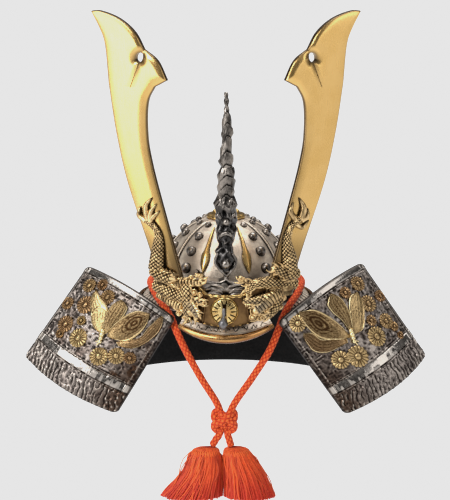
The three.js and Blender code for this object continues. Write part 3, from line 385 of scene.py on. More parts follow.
def ball_rows(centre, radius, facing):
    """Rows for a tube that is a ball, flatter towards the side it faces."""
    stops = ((-0.9, 0.6), (0.0, 1.0), (0.75, 0.62))
    return [(*(centre + ahead * radius * facing), share * radius) for ahead, share in stops]


def weathered(form, rounds=2, gain=3.0):
    """Adds the values "hollow" and "proud", 0 to 1: how far a point lies below or above its neighbours' mean,
    along its normal and as a share of their distance, evened out over a few rounds."""
    faces = form.all_triangles()
    a, b, c = form.points[faces].transpose(1, 0, 2)
    facing = np.cross(b - a, c - a)
    count = len(form.points)
    normals = np.stack([np.bincount(faces.ravel(), np.repeat(facing[:, k], 3), count) for k in range(3)], -1)
    normals /= np.linalg.norm(normals, axis=1, keepdims=True) + 1e-12
    groups = (form.quads, form.triangles)
    start, end = (np.concatenate([np.roll(g, turn, axis=1).ravel() for g in groups]) for turn in (0, -1))
    edge = form.points[end] - form.points[start]
    dip = np.einsum("ij,ij->i", edge, normals[start]) / (np.linalg.norm(edge, axis=1) + 1e-9)
    share = np.bincount(start, minlength=count) + 1e-9
    dip = np.bincount(start, dip, count) / share
    for _ in range(rounds):
        dip = 0.5 * dip + 0.5 * np.bincount(start, dip[end], count) / share
    form.values["hollow"] = np.clip(gain * dip, 0, 1)
    form.values["proud"] = np.clip(-gain * dip, 0, 1)
    return form


# Pieces of more triangles than this keep only a share of them. Cord and threads stay whole.
DENSE = {"over": 30000, "share": 0.32, "threads": ("chin_", "tassel_")}


def thinned(piece):
    """Collapses the flattest faces of a dense piece until its share of them is left."""
    triangles = len(piece.data.loops) - 2 * len(piece.data.polygons)
    if triangles > DENSE["over"] and not piece.name.startswith(DENSE["threads"]):
        piece.modifiers.new("thinning", "DECIMATE").ratio = DENSE["share"]
        finished = piece.evaluated_get(bpy.context.evaluated_depsgraph_get())
        mesh = bpy.data.meshes.new_from_object(finished)
        piece.modifiers.clear()
        piece.data = mesh
    return piece


def make_piece(name, form, finish, replaces=(), sharp_deg=40.0):
    """Turns a form into an object that rides on the helmet and stands for the CAD nodes it replaces."""
    mesh = bpy.data.meshes.new(name)
    mesh.vertices.add(len(form.points))
    mesh.vertices.foreach_set("co", (form.points * MM).astype(np.float32).ravel())
    corners = np.concatenate([form.quads.ravel(), form.triangles.ravel()])
    mesh.loops.add(len(corners))
    mesh.loops.foreach_set("vertex_index", corners.astype(np.int32))
    starts = np.arange(len(form.quads)) * 4
    more = len(form.quads) * 4 + np.arange(len(form.triangles)) * 3
    mesh.polygons.add(len(form.quads) + len(form.triangles))
    mesh.polygons.foreach_set("loop_start", np.concatenate([starts, more]).astype(np.int32))
    mesh.update(calc_edges=True)
    mesh.polygons.foreach_set("use_smooth", np.ones(len(mesh.polygons), bool))
    for key, value in form.values.items():
        mesh.attributes.new(key, "FLOAT", "POINT").data.foreach_set("value", value.astype(np.float32))
    mesh.materials.append(finish.material)
    piece = bpy.data.objects.new(name, mesh)
    bpy.context.scene.collection.objects.link(piece)
    thinned(piece).data.set_sharp_from_angle(angle=math.radians(sharp_deg))
    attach(piece, "root")
    if replaces:
        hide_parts(*replaces)
    return piece


# ---------------------------------------------------------------- camera, light and floor

VIEW = {"elevation_deg": 12, "distance": 0.9, "target_z": 0.0151, "lens": 129.6, "shift_x": -0.002}
FLOOR = {"z": -0.42, "half_side": 14.0, "glow": 1.05}
PICTURE_WHITE = 0.79

# Grey of the sky, from straight down to straight up.
SKY = {"greys": [(0.0, 0.5), (0.48, 0.32), (0.55, 0.1), (0.7, 0.25), (1.0, 0.8)], "strength": 0.8}

# Soft lamps: place, width and height in metres, watts. They all face the same place.
LAMPS = {
    "key_lamp": ((-0.55, -0.7, 0.75), (0.55, 0.45), 10),
    "side_panel": ((-0.58, -0.42, 0.18), (0.32, 0.66), 3),
    "fill_lamp": ((0.75, -0.55, 0.4), (0.45, 0.7), 2.7),
    "top_lamp": ((0.05, 0.25, 0.95), (0.7, 0.5), 7),
}
LAMPS_FACE = (0, 0, 0.02)


def make_camera():
    elevation = math.radians(VIEW["elevation_deg"])
    data = bpy.data.cameras.new("camera")
    data.lens = VIEW["lens"]
    data.shift_x = VIEW["shift_x"]
    data.clip_end = 50
    camera = bpy.data.objects.new("camera", data)
    reach = VIEW["distance"]
    camera.location = (0, -reach * math.cos(elevation), VIEW["target_z"] + reach * math.sin(elevation))
    camera.rotation_euler = (math.pi / 2 - elevation, 0, 0)
    bpy.context.scene.collection.objects.link(camera)
    bpy.context.scene.camera = camera


def make_lamp(name, place, size, power):
    """A soft rectangular studio lamp."""
    data = bpy.data.lights.new(name, "AREA")
    data.shape = "RECTANGLE"
    data.size, data.size_y = size
    data.energy = power
    lamp = bpy.data.objects.new(name, data)
    lamp.location = place
    lamp.rotation_euler = (Vector(LAMPS_FACE) - Vector(place)).to_track_quat("-Z", "Y").to_euler()
    bpy.context.scene.collection.objects.link(lamp)


def make_studio():
    """Soft lamps above and at the sides, and a pale sky that is darker below."""
    world = bpy.data.worlds.new("studio")
    bpy.context.scene.world = world
    world.use_nodes = True
    sky = Nodes(world.node_tree)
    place = sky.node("ShaderNodeTexCoord", output="Generated")
    up = sky.node("ShaderNodeSeparateXYZ", None, {0: place}, output="Z")
    share = sky.node("ShaderNodeMapRange", None, {"Value": up, "From Min": -1})
    grey = sky.node("ShaderNodeValToRGB", {"stops": SKY["greys"]}, {"Fac": share})
    light = sky.node("ShaderNodeBackground", None, {"Color": grey, "Strength": SKY["strength"]})
    sky.node("ShaderNodeOutputWorld", None, {0: light})
    for name, row in LAMPS.items():
        make_lamp(name, *row)


def make_floor():
    """A wide pale sheet far under the helmet: plain, evenly lit and without a seam."""
    finish = Finish("pale_floor", Roughness=0.9, Emission_Strength=FLOOR["glow"])
    grain = finish.noise(14.0, 2.0)
    finish.set(Emission_Color=finish.mix(grain, (0.98, 0.98, 0.98), (1.0, 1.0, 1.0)))
    finish.set(Base_Color=finish.mix(grain, (0.5, 0.5, 0.5), (0.52, 0.52, 0.52)))
    side, z = FLOOR["half_side"], FLOOR["z"]
    mesh = bpy.data.meshes.new("floor")
    corners = [(-side, -side, z), (side, -side, z), (side, side, z), (-side, side, z)]
    mesh.from_pydata(corners, [], [(0, 1, 2, 3)])
    mesh.materials.append(finish.material)
    floor = bpy.data.objects.new("floor", mesh)
    bpy.context.scene.collection.objects.link(floor)


def set_picture_white():
    """The brightest tone of the picture: everything above it is the same pale grey-white, as in print."""
    view = bpy.context.scene.view_settings
    view.view_transform = "Standard"
    view.use_curve_mapping = True
    view.curve_mapping.extend = "HORIZONTAL"
    view.curve_mapping.curves[3].points[-1].location = (1.0, PICTURE_WHITE)
    view.curve_mapping.update()


set_picture_white()
make_camera()
make_studio()
make_floor()


# ---------------------------------------------------------------- braided cord, knot and tassels

CORD = {"radius": 1.75, "strands": 5, "pitch": 2.7, "depth": 0.2, "knot_radius": 2.1}
KNOT_PLACE = (-0.8, -44.0, -60.4)

# Each half of the cord, from the back of the bowl's foot to its tassel: x, y, z.
CORD_HALVES = {
    "left": [
        (0, 39, -3.4), (-14, 36.4, -3.2), (-26.6, 27.6, -2.4), (-34.8, 14, -1), (-37.6, -2, 0.2),
        (-36.6, -15.6, 0), (-33.6, -24.4, -3.2), (-30.4, -30.8, -5.9), (-26.7, -34.4, -10.9),
        (-24.4, -37.6, -15.8), (-19.6, -41.2, -25.4), (-12.1, -43.2, -38.8), (-3.6, -44, -53.2),
        (-2.4, -44, -60), (-3.2, -44, -67), (-4.9, -44, -69.6), (-6.5, -44, -72.4),
    ],
    "right": [
        (0, 39, -3.4), (14, 36.4, -3.2), (26.6, 27.6, -2.4), (34.8, 14, -1), (37.6, -2, 0.2), (36.8, -15.6, 0),
        (33.8, -24.6, -3.2), (30.6, -30.8, -6), (27.4, -34.4, -11.4), (25.4, -37.2, -16.4), (20.9, -41, -26),
        (12.7, -43, -38.8), (3.4, -44, -52.8), (0.9, -44, -60), (0.8, -44, -66.8), (1.6, -44, -69.8),
        (2.4, -44, -72.8),
    ],
}

# Strands of the knot from its middle: x, y, z. Four lobes, and two strands that cross in front.
KNOT_STRANDS = [
    [(-2.6, 1.2, 4.8), (-4.3, 0.4, 3.9), (-4.4, -0.6, 1.9), (-2.6, -1.4, 0.4), (0.6, -1.5, -1.4)],
    [(3.4, 1, 4.8), (4.5, 0.2, 3.6), (4.4, -0.8, 1.6), (3, -1.4, 0), (1.2, -0.8, -2)],
    [
        (-1.4, 0.6, -4.6), (-3.8, 0, -4), (-4.6, -0.7, -2), (-3.2, -1.8, -0.2), (-0.2, -2.8, 1.6),
        (2.2, -2, 3.6), (3.4, 0, 4.6),
    ],
    [(1.6, 0.6, -4.6), (3.9, 0, -4), (4.5, -0.8, -1.8), (3.2, -1.8, 0.6), (0.2, -2.3, 2.9), (-2, -1.4, 4.4)],
    [(-4, 0.8, 2.6), (-2, 2.6, 1), (2, 2.6, -1.2), (4, 1, -2.6)],
    [(-4, 0.8, -2.6), (-1.6, 2.9, -1), (1.8, 2.9, 1.4), (4, 1, 2.8)],
]

# Outline of the tassels from the head down: z, left edge, right edge, half depth.
TASSEL_OUTLINES = {
    "left": [
        (-73.6, -12, -5, 2.2), (-74.8, -16, -3.4, 4.8), (-79, -18.9, -1.4, 6.6), (-86, -22.2, -0.9, 7.5),
        (-92.5, -27.6, -0.6, 8.6), (-98.4, -33.4, -0.4, 9.6),
    ],
    "right": [
        (-73.6, 1, 7.6, 2.2), (-74.8, -1, 11, 4.8), (-79, -1.7, 14.2, 6.6), (-86, -1.9, 19.4, 7.5),
        (-92.5, -2.0, 22.6, 8.6), (-98.4, -2.1, 25.2, 9.6),
    ],
}


def braid_finish():
    """Orange silk braid: painted highlight on the strands' crowns and painted shade in deep red between them,
    with fine threads along each strand.
    """
    finish = Finish("orange_silk_braid", Specular_IOR_Level=0.25, Sheen_Weight=0.06, Sheen_Roughness=0.5)
    strand, lay = finish.attribute("strand"), finish.attribute("lay")
    cloud = finish.noise(260.0)
    # Painted shade: deep red in the grooves between the strands, orange on them.
    colour = finish.mix(strand.between(0.1, 0.7), paint(142, 24, 12), paint(212, 72, 26))
    # Painted highlight: pale orange on the strands' crowns, in clouds.
    colour = finish.mix(strand.between(0.6, 1.0) * cloud, colour, paint(248, 130, 62))
    threads = (lay * 38.0).sine() * 0.5 + 0.5
    finish.set(Base_Color=colour, Roughness=cloud.between(0.2, 0.8, 0.62, 0.82))
    finish.bump(strand * 0.7 + threads * 0.3, 0.12)
    return finish


def braid(rows, count, radius=CORD["radius"], sides=32):
    """A round braid. Diamond-shaped strands stand proud where two families of helices, v turns + u over the
    pitch and v turns - u over the pitch, leave their grooves."""
    path = smooth_path(np.column_stack([rows, np.full(len(rows), radius)]), count)
    u = np.concatenate([[0], np.cumsum(np.linalg.norm(np.diff(path[:, :3], axis=0), axis=1))])[:, None]
    v = (np.arange(sides) / sides)[None, :]
    turns, pitch = CORD["strands"], CORD["pitch"]
    one, other = turns * v + u / pitch, turns * v - u / pitch
    ridge = np.minimum(np.abs(np.sin(math.pi * one)), np.abs(np.sin(math.pi * other))) ** 0.6
    over = (np.floor(one) + np.floor(other)) % 2
    lay = np.where(over > 0, one, other)
    form = tube(path, count, sides, lambda u, v: CORD["depth"] * (ridge - 0.75), strand=ridge, lay=lay)
    return form, path[:, :3]


def make_cords(finish):
    """The cord in two halves that meet behind the bowl, and the knot."""
    strands = [braid(np.add(KNOT_PLACE, rows), 70, CORD["knot_radius"])[0] for rows in KNOT_STRANDS]
    knot = make_piece("chin_knot", together(strands), finish, ["knot"])
    for side, rows in CORD_HALVES.items():
        form, path = braid(rows, 720)
        replaces = [f"tail_{side}"] + ["cord"] * (side == "left")
        make_piece(f"chin_cord_{side}", form, finish, replaces)


def thread_finish():
    """Cut silk threads: each has a tone of its own, darker towards the cut ends and, as painted shade, where it
    lies deep.
    """
    finish = Finish("tassel_silk", Specular_IOR_Level=0.3, Sheen_Weight=0.08, Sheen_Roughness=0.4)
    tone, depth = finish.attribute("tone"), finish.attribute("deep")
    colour = finish.mix(tone, paint(150, 18, 12), paint(246, 100, 44))
    # Painted shade: threads deep in the tassel turn dark red, as do those towards the hem.
    colour = finish.mix(depth.between(0.1, 1.0), colour, paint(176, 8, 14))
    grain = finish.noise(900.0, stretch=(1.0, 1.0, 0.12))
    finish.set(Base_Color=finish.mix(grain * 0.22, colour, paint(250, 140, 78)))
    finish.set(Roughness=grain.between(0.2, 0.8, 0.5, 0.75))
    finish.bump(grain, 0.1)
    return finish


# Layers of threads: count, radius, looseness from 0 for combed ones to 1 for stray ones.
THREAD_LAYERS = [(560, 0.34, 0.0), (90, 0.3, 0.3), (34, 0.19, 1.0)]
THREAD = {"stations": 13, "sides": 4, "start": 0.1}
HEAD = {"end": 0.3, "strands": 34, "slant": 22}


def tassel_place(side, angle, share, drop):
    """A point of the tassel: angle round its section, share of the way out, drop from 0 at the top to 1 at the
    hem."""
    z, left, right, depth = between_rows(TASSEL_OUTLINES[side], drop * (len(TASSEL_OUTLINES[side]) - 1))
    x = 0.5 * (left + right) + 0.5 * share * (right - left) * np.cos(angle)
    return np.stack([x, KNOT_PLACE[1] - share * depth * np.sin(angle), z], -1)


def thread_paths(side, count, loose):
    """Middle lines of threads, each a row of places, and how far out each one lies. They fall from the head, fan
    out with the outline and waver; loose ones swing outside the others."""
    along = np.linspace(0, 1, THREAD["stations"])
    angle = chance.uniform(0, TAU, (count, 1)) + chance.normal(0, 0.05 + 0.5 * loose, (count, 1)) * along
    share = np.sqrt(chance.uniform(0.55, 1.0, (count, 1))) * (0.93 + 0.04 * loose)
    drop = np.linspace(THREAD["start"], 1, THREAD["stations"]) * chance.uniform(0.97, 1.0, (count, 1))
    path = tassel_place(side, angle, share, drop)
    wave = np.sin(TAU * (drop * chance.uniform(0.6, 1.8, (count, 1)) + chance.uniform(0, 1, (count, 1))))
    sway = chance.normal(0, 0.35 + 0.9 * loose, (count, 1, 3)) * [1, 0.5, 0.15]
    path = path + sway * (wave * np.sin(math.pi * drop))[:, :, None]
    hem = TASSEL_OUTLINES[side][-1][0] - 0.2
    path[:, :, 2] = np.maximum(path[:, :, 2], hem)
    return path, share[:, 0]


def tassel_threads(side, count, radius, loose):
    """A layer of threads: the same small ring carried along every middle line, closed at both ends. The value
    "tone" is a thread's own tone, made lighter for loose threads as painted light, and "deep" is painted shade
    from its depth in the tassel, with a darkening towards the hem."""
    stations, sides = THREAD["stations"], THREAD["sides"]
    path, share = thread_paths(side, count, loose)
    along = unit(np.gradient(path, axis=1))
    across = unit(np.cross(along, [0.2, -1.0, 0.1]))
    front = np.cross(across, along)
    turn = turns(sides)
    ring = across[:, :, None] * np.cos(turn)[:, None] + front[:, :, None] * np.sin(turn)[:, None]
    thick = radius * chance.uniform(0.75, 1.2, (count, 1, 1, 1))
    points = path[:, :, None] + thick * ring
    ends = np.array([[3, 2, 1, 0], (stations - 1) * sides + np.arange(sides)])
    faces = np.vstack([grid_quads(stations, sides, ring_columns=True), ends])
    quads = faces[None] + (np.arange(count) * stations * sides)[:, None, None]
    # Painted light: loose threads, which lie outside the others, are made lighter.
    tone = np.repeat(chance.uniform(0.05, 1.0, count) ** 1.4, stations * sides) + 0.4 * loose
    below = np.tile(np.repeat(np.linspace(0, 1, stations) ** 1.8, sides), count)
    # Painted shade: threads that lie deep in the tassel are darker, loose ones less so; all darken towards the
    # hem.
    deep = 0.7 * np.repeat((1 - share) / 0.3, stations * sides) + 0.8 * below - loose
    return Form(points, quads.reshape(-1, 4), tone=np.minimum(1, tone), deep=np.clip(deep, 0, 1)).outward()


def tassel_core(side):
    """The heart of the tassel, dark as painted shade among the threads: its outline, drawn in a little, with
    shallow locks that wind down it.
    """
    drop, angle = grid(np.linspace(0.05, 0.985, 40), np.linspace(0, TAU, 96, endpoint=False))
    locks = 0.035 * np.sin(15 * angle + 5 * drop) * drop
    rings = tassel_place(side, angle, 0.8 * (1 + locks), drop)
    tips = [rings[0].mean(axis=0) + [0, 0, 0.4], rings[-1].mean(axis=0)]
    # Painted shade: the core is dark red, darker still in the grooves between its locks.
    return capped(rings, tips, deep=0.75 - 0.3 * locks / 0.035, tone=0.3)


def tassel_head(side):
    """The head: the threads bend over the cord and lie side by side as a low twisted arch."""
    drop, angle = grid(np.linspace(0, HEAD["end"], 26), np.linspace(0, TAU, 320, endpoint=False))
    wind = HEAD["strands"] * angle + HEAD["slant"] * drop
    twist = np.abs(np.sin(0.5 * wind)) ** 0.7
    rings = tassel_place(side, angle, 0.9 + 0.1 * hump(drop - 0.16, 0.09) + 0.05 * twist, drop)
    tips = [rings[0].mean(axis=0) + [0, 0, 0.5], rings[-1].mean(axis=0)]
    # On the braid finish, the twists get painted highlight on their crowns and painted shade between them.
    return capped(rings, tips, strand=twist, lay=wind / 5)


def make_tassel(side, threads_finish, cord_finish):
    threads = [tassel_threads(side, *layer) for layer in THREAD_LAYERS]
    make_piece(f"tassel_{side}_core", tassel_core(side), threads_finish, [f"tassel_{side}"])
    make_piece(f"tassel_{side}_threads", together(threads), threads_finish)
    make_piece(f"tassel_{side}_head", tassel_head(side), cord_finish)


orange_braid = braid_finish()
tassel_silk = thread_finish()
make_tassel("left", tassel_silk, orange_braid)
make_tassel("right", tassel_silk, orange_braid)
make_cords(orange_braid)

# ---------------------------------------------------------------- cast and plated metals


def cast_metal(name, bright, body, recess, rough, grain_mm=0.04, scale=220.0, tint=None):
    """Patinated cast metal: bright where it stands proud and gets rubbed, dark in its hollows and where the
    value
    "patina" asks, which holds both oxide and painted shade, clouded between. A tint is a second colour that the
    value "tint" brings in."""
    finish = Finish(name, Metallic=1.0)
    cloud, fine = finish.noise(scale, 4.0), finish.noise(scale * 6, 2.0)
    colour = finish.mix(cloud.between(0.35, 0.7), paint(*body), paint(*bright))
    if tint:
        colour = finish.mix(finish.attribute("tint"), colour, paint(*tint))
    colour = finish.mix(finish.attribute("proud").between(0.1, 0.6), colour, paint(*bright))
    speckle = (cloud - 0.5) * 0.3 + (fine - 0.5) * 0.5
    # The recess colour comes in through the hollows, the oxide and painted shade in patina, and speckle.
    dirt_and_shade = (finish.attribute("hollow") * 1.6 + finish.attribute("patina") + speckle).between(0.05, 0.95)
    finish.set(Base_Color=finish.mix(dirt_and_shade, colour, paint(*recess)))
    finish.set(Roughness=(cloud * 0.6 + fine * 0.4).between(0.3, 0.7, *rough) + dirt_and_shade * 0.2)
    finish.bump(fine * 0.6 + cloud * 0.4, grain_mm)
    return finish


def polished_metal(name, bright, body, rough, edge, brushed=(1.0, 1.0, 1.0)):
    """Plated and polished metal with faint brushing, handled places and a darker colour where the value "edge"
    asks: on its edges, and as painted shade on the visor roll's lower side and towards a horn's foot.
    """
    finish = Finish(name, Metallic=1.0)
    cloud, lines = finish.noise(90.0, 3.0), finish.noise(1600.0, 2.0, stretch=brushed)
    colour = finish.mix(cloud.between(0.3, 0.7), paint(*body), paint(*bright))
    # The "edge" value darkens edges, and paints shade on the visor roll's lower side and a horn's foot.
    colour = finish.mix(finish.attribute("edge").between(0.0, 1.0), colour, paint(*edge))
    colour = finish.mix(finish.attribute("hollow").between(0.1, 0.8), colour, paint(*edge))
    finish.set(Base_Color=colour, Roughness=(cloud * 0.5 + lines * 0.5).between(0.3, 0.7, *rough))
    finish.bump(lines, 0.005)
    return finish


antique_silver = cast_metal("antique_silver", (232, 218, 200), (196, 180, 163), (40, 34, 30), (0.46, 0.62))
dark_silver = cast_metal("dark_silver", (176, 166, 156), (98, 91, 85), (18, 17, 16), (0.24, 0.4))
gunmetal = cast_metal(
    "gunmetal", (150, 142, 134), (54, 51, 48), (10, 10, 10), (0.18, 0.32), scale=160.0, tint=(58, 56, 55)
)
antique_brass = cast_metal(
    "antique_brass", (224, 192, 140), (106, 84, 57), (24, 16, 9), (0.24, 0.42), 0.05, 260.0, (118, 110, 98)
)
bronze_brown = cast_metal("bronze_brown", (132, 102, 66), (94, 70, 46), (34, 22, 13), (0.3, 0.44), 0.03, 140.0)
boss_gold = cast_metal("boss_gold", (240, 214, 150), (186, 150, 92), (36, 24, 12), (0.22, 0.34), 0.02, 120.0)
guard_grey = cast_metal("guard_grey", (120, 116, 110), (74, 71, 68), (16, 15, 15), (0.4, 0.6), scale=180.0)
guard_black = cast_metal("guard_black", (40, 39, 39), (28, 28, 28), (10, 10, 10), (0.55, 0.7), 0.03, 180.0)
lead_grey = cast_metal("lead_grey", (140, 138, 140), (104, 102, 102), (48, 47, 50), (0.4, 0.55), 0.05, 300.0)
satin_gold = polished_metal(
    "satin_gold", (214, 176, 112), (208, 169, 103), (0.25, 0.31), (108, 88, 62), brushed=(1.0, 1.0, 0.06)
)
polished_gold = polished_metal("polished_gold", (232, 196, 130), (206, 164, 100), (0.2, 0.3), (92, 62, 32))
gold_copper = polished_metal("gold_copper", (212, 168, 108), (158, 114, 70), (0.2, 0.32), (102, 62, 38))

# ---------------------------------------------------------------- horns

HORN = {"foot": (30, -38, 0), "turn_deg": 27, "lean_deg": 3, "thick": 3.5}
EYE = {"u": 8.4, "v": 115.6, "half_long": 2.5, "half_short": 1.9, "tilt_deg": 120, "sink": 3.4, "depth": 1.1}

# Outline of the blade from its foot up the outer edge, over the head and the beak and down the throat. u counts
# outward, v up.
HORN_OUTER = [(0.5, 4), (6, 22.9), (17.5, 57.3), (22.3, 80.2), (25.2, 102)]
HORN_HEAD = [(25.2, 102), (26.8, 123), (29.2, 129.2), (33.2, 136.6)]
HORN_CROWN = [(33.2, 136.6), (29.6, 136.8), (18.8, 133.5), (10.6, 127.3), (6, 119.5)]
HORN_BROW = [(6, 119.5), (-0.8, 114.6), (-5.6, 105.4)]
HORN_CHIN = [(-5.6, 105.4), (-2.2, 103.6), (1, 102)]
HORN_THROAT = [(1, 102), (4.7, 95.4), (5.8, 78), (3.9, 65.3), (-4.3, 33.9), (-12.6, 4)]


def horn_axes():
    """Origin and axes of the right horn's plane: u outward, v up, w out of its front face."""
    turn, lean = math.radians(HORN["turn_deg"]), math.radians(HORN["lean_deg"])
    outward = np.array([math.cos(turn), math.sin(turn), 0])
    facing = np.array([math.sin(turn), -math.cos(turn), 0])
    up = np.array([0, 0, math.cos(lean)]) + facing * math.sin(lean)
    normal = np.cross(outward, up)
    return np.array(HORN["foot"]) + 0.5 * HORN["thick"] * normal, outward, up, normal


def on_horn(u, v, w):
    """Places of points given on the right horn."""
    origin, outward, up, normal = horn_axes()
    return origin + np.multiply.outer(u, outward) + np.multiply.outer(v, up) + np.multiply.outer(w, normal)


def flat_curve(rows, count):
    """The smooth path through rows of two numbers."""
    return smooth_path(np.column_stack([rows, np.zeros(len(rows))]), count)[:, :2]


def horn_form():
    """The blade as one ring-shaped grid. Columns follow the outline; rows go in from it over the front face,
    through the eye or along the middle line, and out again over the back."""
    up_count, parts = 120, (HORN_HEAD, HORN_CROWN, HORN_BROW, HORN_CHIN)
    outer, throat = flat_curve(HORN_OUTER, up_count), flat_curve(HORN_THROAT, up_count)
    head = np.vstack([flat_curve(rows, n)[1:] for rows, n in zip(parts, (36, 44, 26, 10))])[:-1]
    outline = np.vstack([outer, head, throat])
    spine = 0.5 * (outer + throat[::-1])
    eye = np.array([EYE["u"], EYE["v"]])
    bearing = np.unwrap(np.arctan2(*(head - eye).T[::-1]))
    share = (bearing - bearing[0]) / (bearing[-1] - bearing[0])
    angle = -0.5 * math.pi + TAU * np.clip(share, 0, 1)
    tilt = math.radians(EYE["tilt_deg"])
    long_axis = np.array([math.cos(tilt), math.sin(tilt)])
    short_axis = np.array([-math.sin(tilt), math.cos(tilt)])
    long_reach, short_reach = EYE["half_long"] * np.cos(angle - tilt), EYE["half_short"] * np.sin(angle - tilt)
    rim = eye + np.multiply.outer(long_reach, long_axis) + np.multiply.outer(short_reach, short_axis)
    inner = np.vstack([spine, rim, spine[::-1]])
    on_eye = np.concatenate([np.zeros(up_count), np.ones(len(head)), np.zeros(up_count)])
    inside_edge = step(np.arange(len(outline)), up_count + 45, up_count + 80)

    toward = inner - outline
    width = np.linalg.norm(toward, axis=1)
    near = np.array([0, 0.12, 0.3, 0.55, 0.9, 1.4, 2.0, 2.8, 3.8])[:, None]
    far = np.array([3.4, 2.6, 2.0, 1.5, 1.0, 0.6, 0.25, 0])[:, None]
    start = np.minimum(near, 0.45 * width)
    end = width - np.minimum(far, 0.45 * width)
    middle = start[-1] + (end[0] - start[-1]) * np.array([0.25, 0.5, 0.75])[:, None]
    depth = np.vstack([start, middle, end])
    flat = outline + depth[:, :, None] * (toward / (width[:, None] + 1e-9))[None]
    edge_round = 0.5 * (1 - np.sqrt(1 - (1 - np.minimum(depth / 0.7, 1)) ** 2))
    pillow = (0.35 + 1.0 * inside_edge) * np.clip(1 - depth / 5.0, 0, 1) ** 2
    sink = EYE["depth"] * on_eye * np.clip(1 - (width - depth) / EYE["sink"], 0, 1) ** 1.5
    front = on_horn(flat[..., 0], flat[..., 1], -(edge_round + pillow + sink))
    back = on_horn(flat[..., 0], flat[..., 1], -HORN["thick"] + edge_round)
    points = np.concatenate([front, back[::-1]])
    rows, columns = points.shape[:2]
    edge = np.clip(1 - depth / 0.8, 0, 1) + 0.8 * on_eye * np.clip(1 - (width - depth) / 2.2, 0, 1)
    # Painted shade: the blade darkens towards its foot through the "edge" value.
    foot = 0.8 * step(-flat[..., 1], -46, -12)
    values = np.concatenate([edge + foot, (edge + foot)[::-1]])
    quads = grid_quads(rows, columns, ring_rows=True, ring_columns=True).reshape(rows, columns, 4)
    keep = np.ones((rows, columns), bool)
    keep[len(front) - 1] = on_eye.astype(bool) | np.roll(on_eye, -1).astype(bool)
    form = Form(points.reshape(-1, 3), quads[keep], edge=values.reshape(-1))
    return welded(form).outward()


def make_horns():
    right = horn_form()
    make_piece("horn_blade_right", right, satin_gold, ["horn_right"])
    make_piece("horn_blade_left", right.mirrored(), satin_gold, ["horn_left"])


# ---------------------------------------------------------------- bowl, rivets, crown ring and arrow strips

BOWL = {
    "half_width": 33.0, "half_depth": 35.5, "height": 33.0, "wall": 2.0, "bottom": -8.8, "flange": 4.6,
    "flange_thick": 2.3,
}
RIVET_ROWS_DEG = [38.5, 69.5, 100.5, 131.5, 162.5]
RIB_DEG = [54, 85, 116, 147, 180]


def on_dome(azimuth_deg, latitude_deg, lift=0.0):
    """Point over the dome: azimuth from the front towards +x, latitude, lift in mm."""
    azimuth, latitude = np.radians(azimuth_deg), np.radians(latitude_deg)
    wide, deep, high = (BOWL[k] + lift for k in ("half_width", "half_depth", "height"))
    x, y = wide * np.cos(latitude) * np.sin(azimuth), -deep * np.cos(latitude) * np.cos(azimuth)
    return np.stack(np.broadcast_arrays(x, y, high * np.sin(latitude)), -1)


def on_oval(azimuth, half_width, half_depth, z):
    """Points on an oval round the middle, azimuth in radians from the front towards +x."""
    return np.stack(np.broadcast_arrays(half_width * np.sin(azimuth), -half_depth * np.cos(azimuth), z), -1)


def bowl_form():
    """The bowl's shell as rings, from its top over the dome, out round the flange and up again inside. Ribs run
    down the dome, each with a faint groove beside it."""
    azimuth = np.linspace(0, 360, 480, endpoint=False)
    latitude = np.linspace(87, 0, 66)[:, None]
    away = np.abs((azimuth + 180) % 360 - 180)
    gap_deg = np.min(np.abs(away[:, None] - RIB_DEG), axis=1)
    gap = np.radians(gap_deg)[None] * BOWL["half_width"] * np.cos(np.radians(latitude))
    fade = step(latitude, 74, 66) * step(latitude, -1, 3)
    ridge = fade * (0.5 * hump(gap, 0.42) - 0.16 * hump(gap - 1.1, 0.45))
    dome = on_dome(azimuth[None], latitude, ridge)
    patina = fade * 0.5 * hump(gap - 1.1, 0.7) + 0.45 * step(latitude, 9, 0)
    # Painted shadow: the lower front panel between the arrow strips, under the crest socket, is darkened as if
    # in its shade.
    patina = patina + 0.4 * step(away, 19, 12)[None] * step(latitude, 44, 14) + 0.22 * clouds(66, 480, 5)

    wide, deep, low = BOWL["half_width"], BOWL["half_depth"], BOWL["bottom"]
    flange = wide + BOWL["flange"]
    ledge, inner, soft = low + BOWL["flange_thick"], wide - BOWL["wall"], 0.4
    skirt = [(wide, ledge + 0.5), (wide + 0.5, ledge), (flange - soft, ledge), (flange, ledge - soft)]
    skirt += [(flange, low + soft), (flange - soft, low), (inner + soft, low), (inner, low + soft)]
    under = np.radians(np.linspace(0, 87, 24))
    cup = [(inner * math.cos(a), (BOWL["height"] - BOWL["wall"]) * math.sin(a)) for a in under]
    rest = np.stack([on_oval(np.radians(azimuth), r, r * deep / wide, z) for r, z in skirt + cup])
    shade = np.concatenate([patina, np.full(rest.shape[:2], 0.5)])
    tips = [[0, 0, BOWL["height"]], [0, 0, BOWL["height"] - BOWL["wall"]]]
    return weathered(capped(np.concatenate([dome, rest]), tips, patina=shade), gain=4.0)


# Rivets in a row, from the flange up: latitude of the lowest, degrees from one to the next, radius of each.
RIVETS = {"first_deg": 5.7, "apart_deg": 14.9, "radii": [2.4, 2.45, 2.4, 2.15, 1.6]}
# Profile of a rivet in shares of its radius, from the foot to the top: distance out, height, darkness.
RIVET_PROFILE = [
    (1.12, -0.4, 0.8), (1.12, 0.0, 0.8), (1.06, 0.03, 0.9), (1.0, 0.06, 0.8), (0.99, 0.28, 0.4),
    (0.95, 0.56, 0.15), (0.84, 0.76, 0.0), (0.64, 0.93, 0.0), (0.38, 1.04, 0.0), (0.12, 1.08, 0.0),
]


